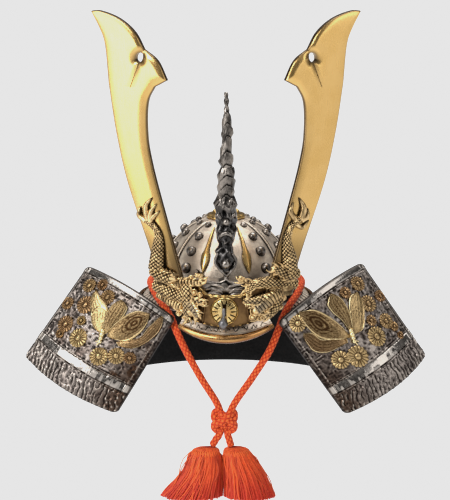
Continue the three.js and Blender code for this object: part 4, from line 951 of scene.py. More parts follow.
def rivet_form(azimuth, latitude, radius, sides=24):
    """The profile of a rivet turned about the dome's normal at its place."""
    foot = on_dome(azimuth, latitude)
    out = unit(on_dome(azimuth, latitude, 1.0) - foot)
    across = unit(np.cross([0, 0, 1], out))
    up = np.cross(out, across)
    reach, height, dark = np.array(RIVET_PROFILE).T[..., None]
    turn = turns(sides)
    round_out = across * np.cos(turn)[:, None] + up * np.sin(turn)[:, None]
    rings = foot + radius * (reach[..., None] * round_out + height[..., None] * out)
    tips = [foot - 0.4 * radius * out, foot + 1.09 * radius * out]
    return capped(rings, tips, patina=dark)


def rivets_form():
    """All the rivets: upright rows on both sides of the bowl."""
    places = [(side * azimuth, level) for side in (-1, 1) for azimuth in RIVET_ROWS_DEG for level in range(5)]
    first, apart, radii = RIVETS["first_deg"], RIVETS["apart_deg"], RIVETS["radii"]
    return together(rivet_form(azimuth, first + apart * level, radii[level]) for azimuth, level in places)


# Section of the crown collar, all round it: reach from the axis, height over the dome.
CROWN_SECTION = [
    (4, 0.3), (9.2, 0.3), (9.6, 0.9), (9.3, 1.5), (8.2, 1.9), (7.3, 1.7), (6.7, 2.4), (6.0, 2.9), (5.0, 2.6),
    (4.3, 1.7), (4, 1),
]


def crown_form():
    """Low collar round the top. Its section is carried round the axis; petals widen and lift its outside, and
    small beads stand on its inner roll."""
    azimuth = turns(400)[None]
    petal = np.abs(np.cos(5 * azimuth))
    reach, rise = flat_curve(CROWN_SECTION, 50).T[..., None]
    outer = step(reach, 6.6, 9.4)
    beads = 0.35 * np.abs(np.cos(22 * azimuth)) ** 0.7 * line(reach, 6.2, 0.8)
    reach = reach + 0.5 * outer * (petal - 0.5)
    height = BOWL["height"] * np.sqrt(1 - (reach / BOWL["half_width"]) ** 2)
    z = height + rise + beads * (rise > 1.8) + 0.3 * outer * petal * (rise > 1)
    quads = grid_quads(len(rise), azimuth.size, ring_rows=True, ring_columns=True)
    return weathered(Form(on_oval(azimuth, reach, reach, z), quads).outward())


# Half width of an arrow strip at each latitude.
ARROW_WIDTHS = [
    (18, 0.2), (22, 1.3), (26, 2.1), (30, 2.35), (34, 2.2), (37, 1.5), (40, 1.1), (46, 0.95), (54, 0.7),
    (62, 0.25),
]
ARROW_DEG = 20.5


def arrow_form(side):
    """A gilt strip that widens to a leaf with a raised midrib and a notched tip."""
    levels, widths = np.transpose(ARROW_WIDTHS)
    latitude = np.linspace(levels[0], levels[-1], 150)[:, None]
    half = np.interp(latitude, levels, widths)
    across = np.linspace(-1, 1, 25)[None]
    turn = np.degrees(across * half / (BOWL["half_width"] * np.cos(np.radians(latitude))))
    leaf = step(latitude, 40, 33)
    lift = 0.45 + 0.85 * (1 - across**2) ** 0.5 + 0.15 * leaf * line(across, 0, 0.5)
    front = on_dome(side * (ARROW_DEG + turn), latitude, lift)
    back = on_dome(side * (ARROW_DEG + turn), latitude, 0.2)
    return plate(front, back, edge=step(np.abs(across), 0.55, 1.0) + 0 * latitude)


def make_bowl():
    make_piece("riveted_bowl", bowl_form(), antique_silver, ["bowl"])
    make_piece("bowl_rivets", rivets_form(), dark_silver)
    make_piece("crown_collar", crown_form(), satin_gold, ["crown_ring"])
    make_piece("arrow_strip_left", arrow_form(-1), satin_gold, ["shinodare_left"])
    make_piece("arrow_strip_right", arrow_form(1), satin_gold, ["shinodare_right"])


# ---------------------------------------------------------------- visor, neck guard and bands

VISOR = {
    "half_width": 22.3, "inner_radius": 41.0, "inner_z": -9.8, "rim_y": -51.5, "rim_z": -17.4, "back": 9.5,
    "rise": 4.1,
}
# Levels of the neck guard, from the top: half width, half depth, z.
GUARD_LEVELS = [
    (44.4, 46.6, -10.2), (49.6, 48.6, -16.5), (50.6, 49.2, -16.9), (56.4, 51.2, -27.5), (57.4, 51.8, -27.9),
    (63.4, 53.8, -38.5), (64.4, 54.4, -38.9), (71.2, 56.4, -56), (72, 57, -57),
]
GUARD = {"wall": 1.8, "start_deg": 54.0}
ROLL = {"half_width": 43.6, "half_depth": 46.1, "z": -8.7, "radius": 0.95}
BAND = {
    "inner_x": 38.1, "inner_y": 40.8, "width": 3.8, "top": -5.4, "fall": 2.3, "thick": 2.0, "start_deg": 50.0,
}


def round_front(x, reach, z):
    """Points on an upright cylinder of that reach round the axis, on its front side."""
    return np.stack(np.broadcast_arrays(x, -np.sqrt(reach**2 - x**2), z), -1)


def rim_line(s):
    """Middle of the visor's rim, s from -1 to 1."""
    x = VISOR["half_width"] * s
    return np.stack([x, VISOR["rim_y"] + VISOR["back"] * s**2, VISOR["rim_z"] + VISOR["rise"] * s**2], -1)


def visor_form():
    """A thin peak between the brow and the rim, dished a little, with engraved chevrons and a groove."""
    s, t = grid(np.linspace(-1, 1, 260), np.linspace(0, 1, 60))
    x = (VISOR["half_width"] - 1.5) * s
    inner = round_front(x, VISOR["inner_radius"], VISOR["inner_z"])
    outer = rim_line(s) * [0.99, 1, 1] + [0, 2.2, 1.3]
    point = inner + (outer - inner) * t[..., None]
    point[..., 2] -= 0.7 * np.sin(math.pi * t)
    saw = np.abs((9.0 * s + 0.12 * np.sin(40 * s)) % 1 - 0.5) * 2
    band = step(t, 0.42, 0.46) * step(t, 0.76, 0.72)
    marks = band * step(np.abs(saw - (t - 0.44) / 0.3), 0.22, 0.1) * (np.sin(31 * s + 1) > -0.5)
    groove = line(t, 0.88, 0.035)
    point[..., 2] -= 0.3 * marks + 0.3 * groove
    under = point + [0, 0.3, -1.4]
    shade = 0.95 * marks + 0.8 * groove + 0.4 * step(t, 0.3, 0.0)
    return weathered(plate(point, under, patina=shade))


def round_back(s, start_deg):
    """Azimuth in radians of a band that leaves the front open; s runs from 0 at its left end to 1."""
    return np.radians(start_deg + (360 - 2 * start_deg) * s)


def laced_band_form():
    """Fluted band: upright flutes side by side round the back."""
    s, t = grid(np.linspace(0, 1, 900), np.linspace(0, 1, 16))
    flute = np.abs(np.sin(math.pi * 46 * s)) ** 0.8 * step(t, 0, 0.12) * step(t, 1, 0.86)
    azimuth, reach = round_back(s, BAND["start_deg"]), BAND["width"] * t
    z = BAND["top"] - BAND["fall"] * t
    front = on_oval(azimuth, BAND["inner_x"] + reach, BAND["inner_y"] + reach, z - 1.0 * (1 - flute))
    back = on_oval(azimuth, BAND["inner_x"] + reach, BAND["inner_y"] + reach, z - BAND["thick"])
    return plate(front, back, patina=step(flute, 0.8, 0.3), proud=0.6 * flute)


def guard_form():
    """The stepped neck guard: each lame ends in a small rolled edge. Inside it is plain."""
    at = np.linspace(0, len(GUARD_LEVELS) - 1, 97)
    half_width, half_depth, z = between_rows(GUARD_LEVELS, at)
    azimuth = round_back(np.linspace(0, 1, 220), GUARD["start_deg"])[:, None]
    roll = sum(0.35 * line(at, edge, 0.16) for edge in (0.95, 2.9, 4.9, 7.0))
    front = on_oval(azimuth, half_width - 0.35 + roll, half_depth - 0.35 + roll, z)
    back = on_oval(azimuth, half_width - GUARD["wall"], half_depth - GUARD["wall"], z)
    seam = sum(line(at, edge, 0.3) for edge in (1.3, 3.3, 5.3))
    return front, back, seam


def make_guard():
    front, back, seam = guard_form()
    split = 0.5 * (front + back)
    outside = weathered(plate(front, split, patina=0.5 * seam))
    make_piece("neck_guard_outside", outside, guard_grey, ["neck_guard"])
    make_piece("neck_guard_lining", plate(split, back, patina=0.3), guard_black)
    make_piece("laced_flutes", laced_band_form(), antique_silver, ["laced_band"])
    azimuth = round_back(np.linspace(0, 1, 60), GUARD["start_deg"])
    middle = on_oval(azimuth, ROLL["half_width"], ROLL["half_depth"], ROLL["z"])
    ring = np.column_stack([middle, np.full(60, ROLL["radius"])])
    make_piece("flange_roll", tube(ring, 300, 16, edge=0.2), gold_copper, ["flange_ring"])


def make_visor():
    make_piece("visor_blade", visor_form(), antique_silver, ["visor"])
    s = np.linspace(-1, 1, 41)
    rows = np.column_stack([rim_line(s), 2 - 0.8 * s**2])
    rim = tube(rows, 260, 28, hint=(0, 0, 1))
    # Painted shade: the lower side of the roll is darkened; the roll also darkens towards its ends.
    low = step(rim.points[:, 2] - np.interp(rim.points[:, 0], rows[:, 0], rows[:, 2]), 0.2, -1.6)
    rim.values["edge"] = 0.75 * low + 0.4 * step(np.abs(rim.points[:, 0]), 14, 22)
    make_piece("visor_roll", rim, gold_copper, ["visor_rim"])


make_horns()
make_bowl()
make_guard()
make_visor()

# ---------------------------------------------------------------- turned-back plates

PLATE = {
    "bulge": 5.0, "barrel": 0.045, "thick": 1.8, "edge": 0.03, "top_band": 0.05, "band": (0.72, 0.79),
    "corner": 2.2,
}

# Corners of the plates: at the fold above, outside above, at the fold below, outside below.
PLATE_CORNERS = {
    "left": [(-24.8, -41, -9.6), (-68.2, -16, 10.5), (-53.6, -42, -57.2), (-99.9, -18, -34.8)],
    "right": [(25.4, -41, -11.4), (66.8, -16, 12.2), (58.3, -43, -57.3), (99.5, -18, -34.5)],
}

# Flowers: across from the fold, down, radius in mm, share of copper in the gilding.
PLATE_FLOWERS = {
    "left": [
        (0.85, 0.15, 3.6, 0.6), (0.77, 0.31, 4.6, 0.9), (0.94, 0.38, 3.4, 0.8), (0.83, 0.54, 4.3, 0.9),
        (0.82, 0.635, 2.4, 0.8), (0.71, 0.44, 2.5, 0.2), (0.64, 0.575, 4.7, 0.1), (0.38, 0.615, 4.5, 0.2),
        (0.25, 0.54, 4.1, 0.3), (0.14, 0.5, 3.0, 0.9), (0.62, 0.16, 3.8, 0.7), (0.735, 0.09, 3.0, 1.0),
    ],
    "right": [
        (0.82, 0.14, 3.8, 0.7), (0.655, 0.145, 3.0, 0.9), (0.79, 0.325, 4.2, 0.6), (0.71, 0.45, 2.8, 0.8),
        (0.84, 0.53, 3.9, 0.6), (0.88, 0.61, 2.4, 0.8), (0.66, 0.58, 4.9, 0.2), (0.39, 0.62, 5.3, 0.2),
        (0.24, 0.565, 4.5, 0.3), (0.12, 0.115, 4.2, 0.3), (0.95, 0.33, 3.2, 1.0), (0.88, 0.7, 1.9, 0.9),
    ],
}

# Wings: two edges from the root to the tip (across, down), copper share, scallops at the tip, an eye or none.
BUTTERFLIES = {
    "left": [
        (
            [(0.47, 0.45), (0.59, 0.42), (0.68, 0.33), (0.755, 0.23), (0.76, 0.15)],
            [(0.46, 0.44), (0.52, 0.31), (0.56, 0.23), (0.65, 0.2), (0.76, 0.15)], 0.0, 0, 0,
        ),
        (
            [(0.45, 0.43), (0.51, 0.36), (0.54, 0.27), (0.53, 0.18), (0.49, 0.12)],
            [(0.43, 0.42), (0.41, 0.33), (0.385, 0.23), (0.4, 0.15), (0.49, 0.12)], 0.25, 1, 0,
        ),
        (
            [(0.42, 0.43), (0.42, 0.33), (0.38, 0.22), (0.31, 0.13), (0.19, 0.09)],
            [(0.4, 0.44), (0.24, 0.39), (0.18, 0.28), (0.17, 0.18), (0.19, 0.09)], 0.4, 0, 1,
        ),
        (
            [(0.32, 0.44), (0.23, 0.37), (0.16, 0.3), (0.14, 0.19), (0.1, 0.05)],
            [(0.28, 0.46), (0.17, 0.42), (0.09, 0.32), (0.05, 0.16), (0.08, 0.05)], 0.75, 1, 0,
        ),
    ],
    "right": [
        (
            [(0.48, 0.46), (0.59, 0.46), (0.68, 0.38), (0.745, 0.29), (0.76, 0.19)],
            [(0.47, 0.45), (0.54, 0.34), (0.6, 0.25), (0.67, 0.19), (0.76, 0.19)], 0.15, 0, 0,
        ),
        (
            [(0.47, 0.45), (0.54, 0.35), (0.58, 0.25), (0.58, 0.16), (0.53, 0.08)],
            [(0.46, 0.45), (0.46, 0.31), (0.43, 0.21), (0.44, 0.14), (0.53, 0.08)], 0.2, 1, 0,
        ),
        (
            [(0.44, 0.44), (0.42, 0.32), (0.38, 0.21), (0.31, 0.11), (0.19, 0.05)],
            [(0.43, 0.46), (0.33, 0.42), (0.2, 0.32), (0.165, 0.19), (0.17, 0.06)], 0.45, 0, 1,
        ),
        (
            [(0.4, 0.45), (0.3, 0.39), (0.2, 0.33), (0.17, 0.25), (0.11, 0.21)],
            [(0.39, 0.48), (0.28, 0.47), (0.17, 0.45), (0.09, 0.38), (0.09, 0.23)], 0.8, 1, 0,
        ),
    ],
}


def on_plate(side, s, t, lift=0.0):
    """Point of a plate: s from the fold to the outer edge, t down, lift above its face in mm."""
    inner_top, outer_top, inner_low, outer_low = np.array(PLATE_CORNERS[side], float)
    s, t, lift = (np.asarray(value, float)[..., None] for value in np.broadcast_arrays(s, t, lift))
    across, along = outer_top + outer_low - inner_top - inner_low, inner_low + outer_low - inner_top - outer_top
    normal = np.cross(across, along)
    normal *= -np.sign(normal[1]) / np.linalg.norm(normal)
    arch = 4 * s * (1 - s)
    down = t + (2 * t - 1) * PLATE["barrel"] * arch
    upper, lower = inner_top + (outer_top - inner_top) * s, inner_low + (outer_low - inner_low) * s
    return upper + (lower - upper) * down + normal * (PLATE["bulge"] * arch + lift)


def plate_size(side):
    """Width along the top and height along the fold, in mm."""
    corners = np.array(PLATE_CORNERS[side], float)
    return np.linalg.norm(corners[0] - corners[1]), np.linalg.norm(corners[0] - corners[2])


def close_at_ends(count):
    """Steps from 0 to 1 that lie closer together at both ends."""
    return np.concatenate([[0, 0.004, 0.01], np.linspace(0.018, 0.982, count), [0.99, 0.996, 1]])


def plate_ground(side):
    """The plate: a frame of raised lines, two polished bands, a hammered ground and a carved lower border. The
    carving is two sets of wavy strokes that cross, broken by clouds, about a scroll in the middle."""
    width, height = plate_size(side)
    s, t = grid(close_at_ends(168), close_at_ends(188))
    top, (low, high) = PLATE["top_band"], PLATE["band"]
    x, y = s * width, t * height
    hills, fine = clouds(*s.shape, 7), clouds(*s.shape, 2.6)
    crinkle = 1 - 2 * np.abs(clouds(*s.shape, 5) - 0.5)
    band = step(t, top + 0.008, top) + step(t, low - 0.004, low + 0.004) * step(t, high + 0.004, high - 0.004)
    side_frame = step(s, 0.972, 0.978)
    beads = line(t, 0.068, 0.006) + line(t, low - 0.014, 0.006) + line(t, high + 0.013, 0.007)
    beads = (beads + line(s, 0.958, 0.007) + line(s, 0.04, 0.008)) * (t < 0.82)
    carved = step(t, high + 0.015, high + 0.03)
    bend = 0.5 * hills + 0.8 * clouds(*s.shape, 18)
    strokes = np.abs(np.sin(math.pi * (0.44 * x + 0.12 * y + bend))) ** 0.7
    crossing = np.abs(np.sin(math.pi * (0.2 * x - 0.3 * y + bend))) ** 0.7
    bark = np.maximum(strokes, crossing * step(hills, 0.5, 0.1)) * (0.35 + 1.1 * clouds(*s.shape, 4.5))
    swirl_x, swirl_y = x - 0.5 * width, y - 0.89 * height
    swirl = np.hypot(swirl_x, swirl_y)
    curl = np.abs(np.sin(1.1 * swirl + np.arctan2(swirl_y, swirl_x) + 2.4 * hills)) * step(swirl, 5.5, 3.5)
    bark = bark * (0.4 + 0.6 * step(swirl, 3, 5.5)) + 0.6 * curl
    ground = (1 - band) * (1 - carved) * (1 - side_frame)
    lift = 0.5 * band + 0.4 * side_frame + 0.42 * np.clip(beads, 0, 1)
    hammered = 0.15 * (hills - 0.5) + 0.45 * (crinkle - 0.6) + 0.2 * (fine - 0.5)
    lift = lift + ground * hammered + carved * (0.8 * bark - 0.35)
    rim = np.minimum(np.minimum(x, width - x), np.minimum(y, height - y))
    lift = lift - 0.7 * (1 - np.sqrt(1 - (1 - np.minimum(rim / 0.8, 1)) ** 2))
    reach = PLATE["corner"]
    into_x = np.clip(reach - np.minimum(x, width - x), 0, None)
    into_y = np.clip(reach - np.minimum(y, height - y), 0, None)
    round_off = np.maximum(into_x, into_y) / (np.hypot(into_x, into_y) + 1e-9)
    s = s + into_x * (1 - round_off) * np.sign(0.5 - s) / width
    t = t + into_y * (1 - round_off) * np.sign(0.5 - t) / height
    front, back = on_plate(side, s, t, lift), on_plate(side, s, t, -PLATE["thick"])
    # Painted shade and reflection: a dark reddish tone towards the fold; stains in patches on the ground.
    brown = step(s, 0.4, 0.05) * step(t, 0.1, 0.75) + 0.5 * ground * (clouds(*s.shape, 12) > 0.62)
    outline = step(rim, 0.9, 0.3)
    shade = 0.75 * outline + ground * (0.5 * step(crinkle, 0.8, 0.35)) + carved * 0.8 * step(bark, 0.42, 0.06)
    shade = np.maximum(shade, 0.8 * step(np.abs(rim - 0.022 * width), 0.35, 0.1) * (1 - carved) * (1 - band))
    polish = np.clip(band + side_frame * 0.6, 0, 1) * (1 - outline)
    return weathered(plate(front, back, polish=polish, patina=shade, brown=brown))


# Section of a flower, at shares of its radius: height over the plate, with the ball in the middle.
FLOWER_STEPS = [0.07, 0.16, 0.24, 0.29, 0.33, 0.42, 0.55, 0.7, 0.84, 0.93, 1.0, 1.02]
FLOWER_RISE = [
    (0.07, 1.35), (0.24, 1.0), (0.3, 0.45), (0.33, 0.5), (0.6, 0.95), (0.93, 0.85), (1.0, 0.5), (1.02, -0.4),
]


def plate_flower(side, s0, t0, radius, copper, petals=16):
    """A round flower: wedge-shaped petals with rounded ends about a ball."""
    width, height = plate_size(side)
    share = np.array(FLOWER_STEPS)[:, None]
    angle = turns(petals * 6)
    petal = np.abs(np.cos(0.5 * petals * angle))[None]
    rise = np.interp(share, *np.transpose(FLOWER_RISE))
    outer = step(share, 0.28, 0.36)
    lift = rise * (1 - outer * 0.5 * (1 - petal) ** 0.8)
    reach = radius * share * (1 - 0.09 * outer * share**6 * (1 - petal))
    tilt = chance.uniform(0, 1)
    s, t = s0 + reach * np.cos(angle + tilt) / width, t0 + reach * np.sin(angle + tilt) / height
    points = on_plate(side, np.minimum(s, 0.99), t, lift)
    tips = [on_plate(side, s0, t0, 1.45), on_plate(side, s0, t0, -0.5)]
    groove = outer * step(petal, 0.42, 0.1) + step(np.abs(share - 0.31), 0.05, 0.01)
    return capped(points, tips, gilt=1.0, copper=copper, patina=0.9 * groove)


def plate_wing(side, one_edge, other_edge, copper, scallops, eye):
    """A wing: a leaf between its two edges, with a bright rim, veins, and a round eye or a scalloped tip."""
    along = np.linspace(0, 1, 90)[:, None]
    across = np.linspace(0, 1, 45)[None]
    one, other = (flat_curve(rows, 90)[:, None] for rows in (one_edge, other_edge))
    place = one + (other - one) * across[..., None]
    scallop = 0.012 * scallops * step(along, 0.6, 0.8) * np.abs(np.sin(5 * math.pi * along))
    place = place + scallop[..., None] * np.array([-0.7, -0.5]) * (across[..., None] - 0.5)
    bow = 4 * across * (1 - across)
    rim = line(across, 0.035, 0.05) + line(across, 0.965, 0.05)
    busy = min(1, scallops + eye + copper)
    inside = 0.3 * busy * step(bow, 0.2, 0.5) * step(along, 0.06, 0.25)
    veins = np.abs(np.sin(math.pi * (5 * across + 0.6 * np.sin(3 * along)))) ** 3 * step(along, 0.1, 0.4)
    cross_vein = (1 - busy) * line(along - 0.15 * bow, 0.42, 0.025)
    lens = np.hypot((along - 0.6) / 0.24, (across - 0.5) / 0.3)
    rings = eye * step(lens, 1.15, 1.0) * np.abs(np.sin(7 * lens)) ** 3
    lift = 0.55 + 0.6 * bow**0.6 + 0.4 * rim - 0.08 * veins + 0.16 * cross_vein - 0.14 * rings
    lift = (lift - 0.5 * np.clip(across - 0.9, 0, 1)) * step(along, -0.06, 0.1)
    fine = clouds(90, 45, 1.4) * step(bow, 0.1, 0.4)
    front = on_plate(side, place[..., 0], place[..., 1], lift - 0.14 * fine)
    back = on_plate(side, place[..., 0], place[..., 1], -0.4)
    shade = inside + 0.12 * veins + 0.45 * rings + 0.35 * fine + 0.75 * step(np.abs(across - 0.5), 0.485, 0.5)
    shade = np.clip(shade - 0.5 * cross_vein - 0.4 * rim, 0, 1)
    return weathered(plate(front, back, gilt=1.0, copper=copper, patina=shade))


def plate_body(side):
    """The butterfly's body: a row of small knobs with two feelers."""
    rows = [(0.475, 0.415, 1.1), (0.462, 0.445, 1.5), (0.45, 0.475, 1.3), (0.44, 0.502, 1.0)]
    knobs = []
    for s, t, radius in rows:
        place = on_plate(side, s, t, 0.9)
        knobs.append(tube([(*(place + [0, 0.4, 0]), radius), (*(place - [0, 0.7, 0]), 0.75 * radius)], 8, 14))
    for s, t in ((0.475, 0.52), (0.45, 0.54)):
        start, end = on_plate(side, 0.445, 0.49, 0.7), on_plate(side, s, t, 0.4)
        knobs.append(tube([(*start, 0.35), (*(0.5 * (start + end) + [0, -0.5, 0]), 0.3), (*end, 0.45)], 20, 8))
    body = together(knobs)
    body.values["gilt"] = np.ones(len(body.points))
    return weathered(body)


def fold_strip(side):
    """The return behind the fold, back to the front edge of the neck guard."""
    sign = -1 if side == "left" else 1
    share = np.linspace(0, 1, 10)[None, :, None]
    down = np.linspace(0.16, 0.985, 60)
    edge = on_plate(side, 0.02, down, -0.4)
    half_width, half_depth, z = between_rows(GUARD_LEVELS, down * (len(GUARD_LEVELS) - 1))
    azimuth = math.radians(GUARD["start_deg"])
    start = on_oval(azimuth, half_width - 0.9, half_depth - 0.9, z) * [sign, 1, 1]
    back = unit((edge - start) * [1, 1, 0])
    end = start + 1.35 * back
    middle = edge[:, None] + (end - edge)[:, None] * share
    across = np.stack([-back[:, 1], back[:, 0], 0 * back[:, 0]], -1)[:, None]
    return plate(middle + 0.7 * across, middle - 0.7 * across, patina=0.5)


def plate_finish():
    """Antique silver with polished bands, and gilt and copper places that attributes name; the value
    "brown" brings a dark reddish tone: painted shade and reflection near the fold, and stains in patches.
    """
    finish = Finish("engraved_silver", Metallic=1.0)
    cloud, fine = finish.noise(170.0, 4.0), finish.noise(1300.0, 2.0)
    gilt, copper, polish = (finish.attribute(name) for name in ("gilt", "copper", "polish"))
    body = finish.mix(cloud.between(0.3, 0.7), paint(106, 97, 92), paint(156, 146, 138))
    # Painted shade and reflection near the fold, and stains, in a dark reddish colour.
    body = finish.mix(finish.attribute("brown") * 0.9, body, paint(66, 48, 36))
    body = finish.mix(polish, body, paint(156, 149, 142))
    gold = finish.mix(copper * (0.6 + cloud * 0.5), paint(184, 160, 114), paint(140, 106, 76))
    colour = finish.mix(gilt, body, gold)
    rubbed = finish.mix(gilt, paint(196, 186, 174), paint(236, 216, 168))
    colour = finish.mix(finish.attribute("proud").between(0.15, 0.7), colour, rubbed)
    speckle = (cloud - 0.5) * 0.35
    dirt_and_shade = (finish.attribute("hollow") * 1.5 + finish.attribute("patina") + speckle).between(0.05, 0.95)
    dark = finish.mix(gilt, paint(36, 30, 27), paint(62, 42, 24))
    finish.set(Base_Color=finish.mix(dirt_and_shade * (1 - polish * 0.6), colour, dark))
    finish.set(Roughness=(cloud * 0.4 + fine * 0.6).between(0.3, 0.7, 0.26, 0.46) - polish * 0.2 + dirt_and_shade * 0.15)
    finish.bump(fine * 0.6 + cloud * 0.4, 0.05)
    return finish


def make_plates():
    finish = plate_finish()
    for side in ("left", "right"):
        relief = [plate_flower(side, *row) for row in PLATE_FLOWERS[side]]
        relief += [plate_wing(side, *row) for row in BUTTERFLIES[side]] + [plate_body(side)]
        make_piece(f"engraved_plate_{side}", plate_ground(side), finish, [f"turnback_{side}"])
        relief = together(relief)
        if side == "right":
            relief.values["copper"] = np.maximum(relief.values["copper"], 0.3)
        make_piece(f"plate_relief_{side}", relief, finish)
        make_piece(f"plate_return_{side}", fold_strip(side), guard_black)


# ---------------------------------------------------------------- crest base, socket, boss and pin

BASE = {"radius": 47.0, "thick": 2.0, "half_angle_deg": 27.0, "lip": 2.1, "bottom": -12.6}
BOSS = {"x": -0.8, "z": -4.6, "radius": 6.8, "thick": 2.6, "slits": 14}


def base_top(x):
    """Height of the wall's upper edge: level in the middle, then rising to both sides like a wide U."""
    return np.minimum(8.5, BASE["lip"] + 0.085 * np.maximum(0, np.abs(x) - 6) ** 2)


def base_bottom(x):
    """Height of its lower edge: lowest in the middle."""
    return BASE["bottom"] + 0.0104 * x**2


def base_form():
    """The curved front wall, with faint upright facets between the rolled lip and the hem."""
    s, t = grid(np.linspace(-1, 1, 240), np.linspace(0, 1, 50))
    azimuth = np.radians(BASE["half_angle_deg"]) * s
    x = BASE["radius"] * np.sin(azimuth)
    z = base_top(x) + (base_bottom(x) - base_top(x)) * t
    facets = 0.12 * np.abs(np.sin(math.pi * 0.28 * x)) + 0.1 * clouds(*s.shape, 9)
    frame = 0.35 * line(np.abs(x), 10.4 - 0.12 * (z + 4), 0.5)
    reach = BASE["radius"] + facets - 0.15 + frame * step(z, 1, -1)
    inner = BASE["radius"] - BASE["thick"]
    front, back = on_oval(azimuth, reach, reach, z), on_oval(azimuth, inner, inner, z)
    shade = 0.6 * step(t, 0.12, 0.0) + 0.6 * step(t, 0.88, 1.0)
    shade = shade + 0.5 * clouds(*s.shape, 24) * step(np.abs(x), 5, 14)
    return weathered(plate(front, back, patina=shade))


def edge_roll(edge, half_span, radius, lift=0.0):
    """A faintly beaded roll along an edge of the wall."""
    x = np.linspace(-half_span, half_span, 41)
    reach = BASE["radius"] - 0.9 + lift
    rows = np.column_stack([round_front(x, reach, edge(x)), np.full(41, radius)])
    return tube(rows, 220, 18, lambda u, v: 0.05 * np.sin(1.9 * u))


SOCKET = {"half_width": 12.5, "foot": -2.9, "radius": 44.0, "back_wide": 33.6, "back_deep": 36.1}
# Upper edge of the socket's right half: across, up.
SOCKET_EDGE = [(0, 10.3), (1.2, 9.4), (3, 8.6), (5, 8.5), (6.5, 8.7), (8.5, 9.1), (10.5, 9.0), (12.5, 8.6)]


def brace(x):
    """Upper edge of the socket: a cusp in the middle between two low arches."""
    return np.interp(np.abs(x), *np.transpose(SOCKET_EDGE))


# Carved leaves on the socket's right half, mirrored to the left: across, up, half thickness.
SOCKET_LEAVES = [
    [(0.6, 0.6, 0.3), (3.2, 2.7, 0.9), (6.6, 3.3, 0.8), (10.4, 2.6, 0.3)],
    [(1.6, 3.4, 0.3), (4, 5.2, 0.8), (7.4, 5.6, 0.8), (10.6, 4.6, 0.3)],
    [(0.4, 4.6, 0.3), (1.6, 6.6, 0.6), (4.4, 7.3, 0.6), (7.4, 7.4, 0.3)],
    [(7.6, 0.6, 0.3), (9.4, 1.6, 0.6), (11.6, 3.6, 0.4)],
]


def socket_form():
    """The carved block: its front swells in soft waves and rounds off at the top, its back follows the bowl.
    Leaves and a thin rim lie on it."""
    s, t = grid(np.linspace(-1, 1, 180), np.linspace(0, 1, 90))
    x = SOCKET["half_width"] * s
    z = SOCKET["foot"] + (brace(x) - SOCKET["foot"]) * t
    swell = 0.5 * (0.5 + 0.5 * np.sin(1.1 * z + 0.5 * np.abs(x) + 2.2 * clouds(*s.shape, 26)))
    round_top = 1.6 * (1 - np.sqrt(1 - step(z - brace(x), -1.5, 0) ** 2 * 0.96))
    front = round_front(x, SOCKET["radius"] + swell - round_top, z)
    wide, deep = SOCKET["back_wide"], SOCKET["back_deep"]
    dome = np.sqrt(np.clip(1 - (np.clip(z, 0, None) / wide) ** 2, 0, 1)) * deep
    back = np.stack([x, -np.sqrt(np.clip(dome**2 - (x * deep / wide) ** 2, 1, None)), z], -1)
    shade = 0.9 * step(swell, 0.22, 0.02)
    forms = [weathered(plate(front, back, patina=shade))]
    for side in (-1, 1):
        for rows in SOCKET_LEAVES:
            path = [(*round_front(side * x, SOCKET["radius"] + 0.5, z), half) for x, z, half in rows]
            forms.append(tube(path, 60, 14, hint=(0, -1, 0), patina=0.0))
    x = np.linspace(-12.2, 12.2, 61)
    rim = np.column_stack([round_front(x, SOCKET["radius"] - 0.7, brace(x) - 0.25), np.full(61, 0.42)])
    return together(forms + [tube(rim, 200, 12)])


def boss_form():
    """A domed gilt disc: a thin ring at the rim, radial slits, and an upright slot in the middle."""
    share = np.concatenate([np.linspace(0.03, 0.86, 40), [0.88, 0.9, 0.92, 0.95, 0.98, 1.0, 1.0]])[:, None]
    angle = turns(280)[None]
    x, z = BOSS["radius"] * share * np.cos(angle), BOSS["radius"] * share * np.sin(angle)
    spoke = np.abs((angle * BOSS["slits"] / TAU + 0.5) % 1 - 0.5) * TAU / BOSS["slits"] * share * BOSS["radius"]
    slit = step(spoke, 0.38, 0.12) * step(share, 0.44, 0.5) * step(share, 0.84, 0.78)
    slot = step(np.abs(x), 1.0, 0.7) * step(np.abs(z - 0.8), 3.0, 2.6)
    lift = 0.55 + 1.75 * (1 - share**2) ** 0.8 + 0.55 * hump(share - 0.95, 0.035)
    lift = lift - 0.75 * slit - 1.0 * slot - 0.3 * hump(share - 0.885, 0.02)
    lift[-1] = 0
    points = np.stack([BOSS["x"] + x, -(BASE["radius"] + 0.3 + lift), BOSS["z"] + z], -1)
    shade = np.maximum(0.95 * slit + 0.95 * slot, 0.7 * hump(share - 0.885, 0.03))
    tips = [points[0].mean(axis=0), [BOSS["x"], -BASE["radius"] - 0.3, BOSS["z"]]]
    return weathered(capped(points, tips, patina=shade))


# The pin from its neck to the tip of the drop, counted from the boss's face: across, back, up, radius.
PIN = [
    (-0.2, -0.5, 1.9, 0.6), (-0.3, -0.6, 0.6, 0.85), (-0.3, -0.8, -1.4, 0.75), (-0.5, -1.8, -2.8, 1.2),
    (-0.6, -2.4, -4.2, 2.2), (-0.6, -2.5, -5.2, 2.4), (-0.6, -2.4, -6.4, 1.7), (-0.6, -2.2, -7.4, 0.7),
    (-0.6, -2.1, -7.9, 0.3),
]


def pin_form():
    """A small cast drop that hangs on a flat neck."""
    rows = np.add(PIN, (BOSS["x"], -BASE["radius"] - 3.2, BOSS["z"], 0))
    ridges = lambda u, v: 0.12 * np.cos(TAU * 2 * v) * step(u, 2.5, 5)
    return weathered(tube(rows, 120, 40, ridges, hint=(0, -1, 0), patina=0.0))


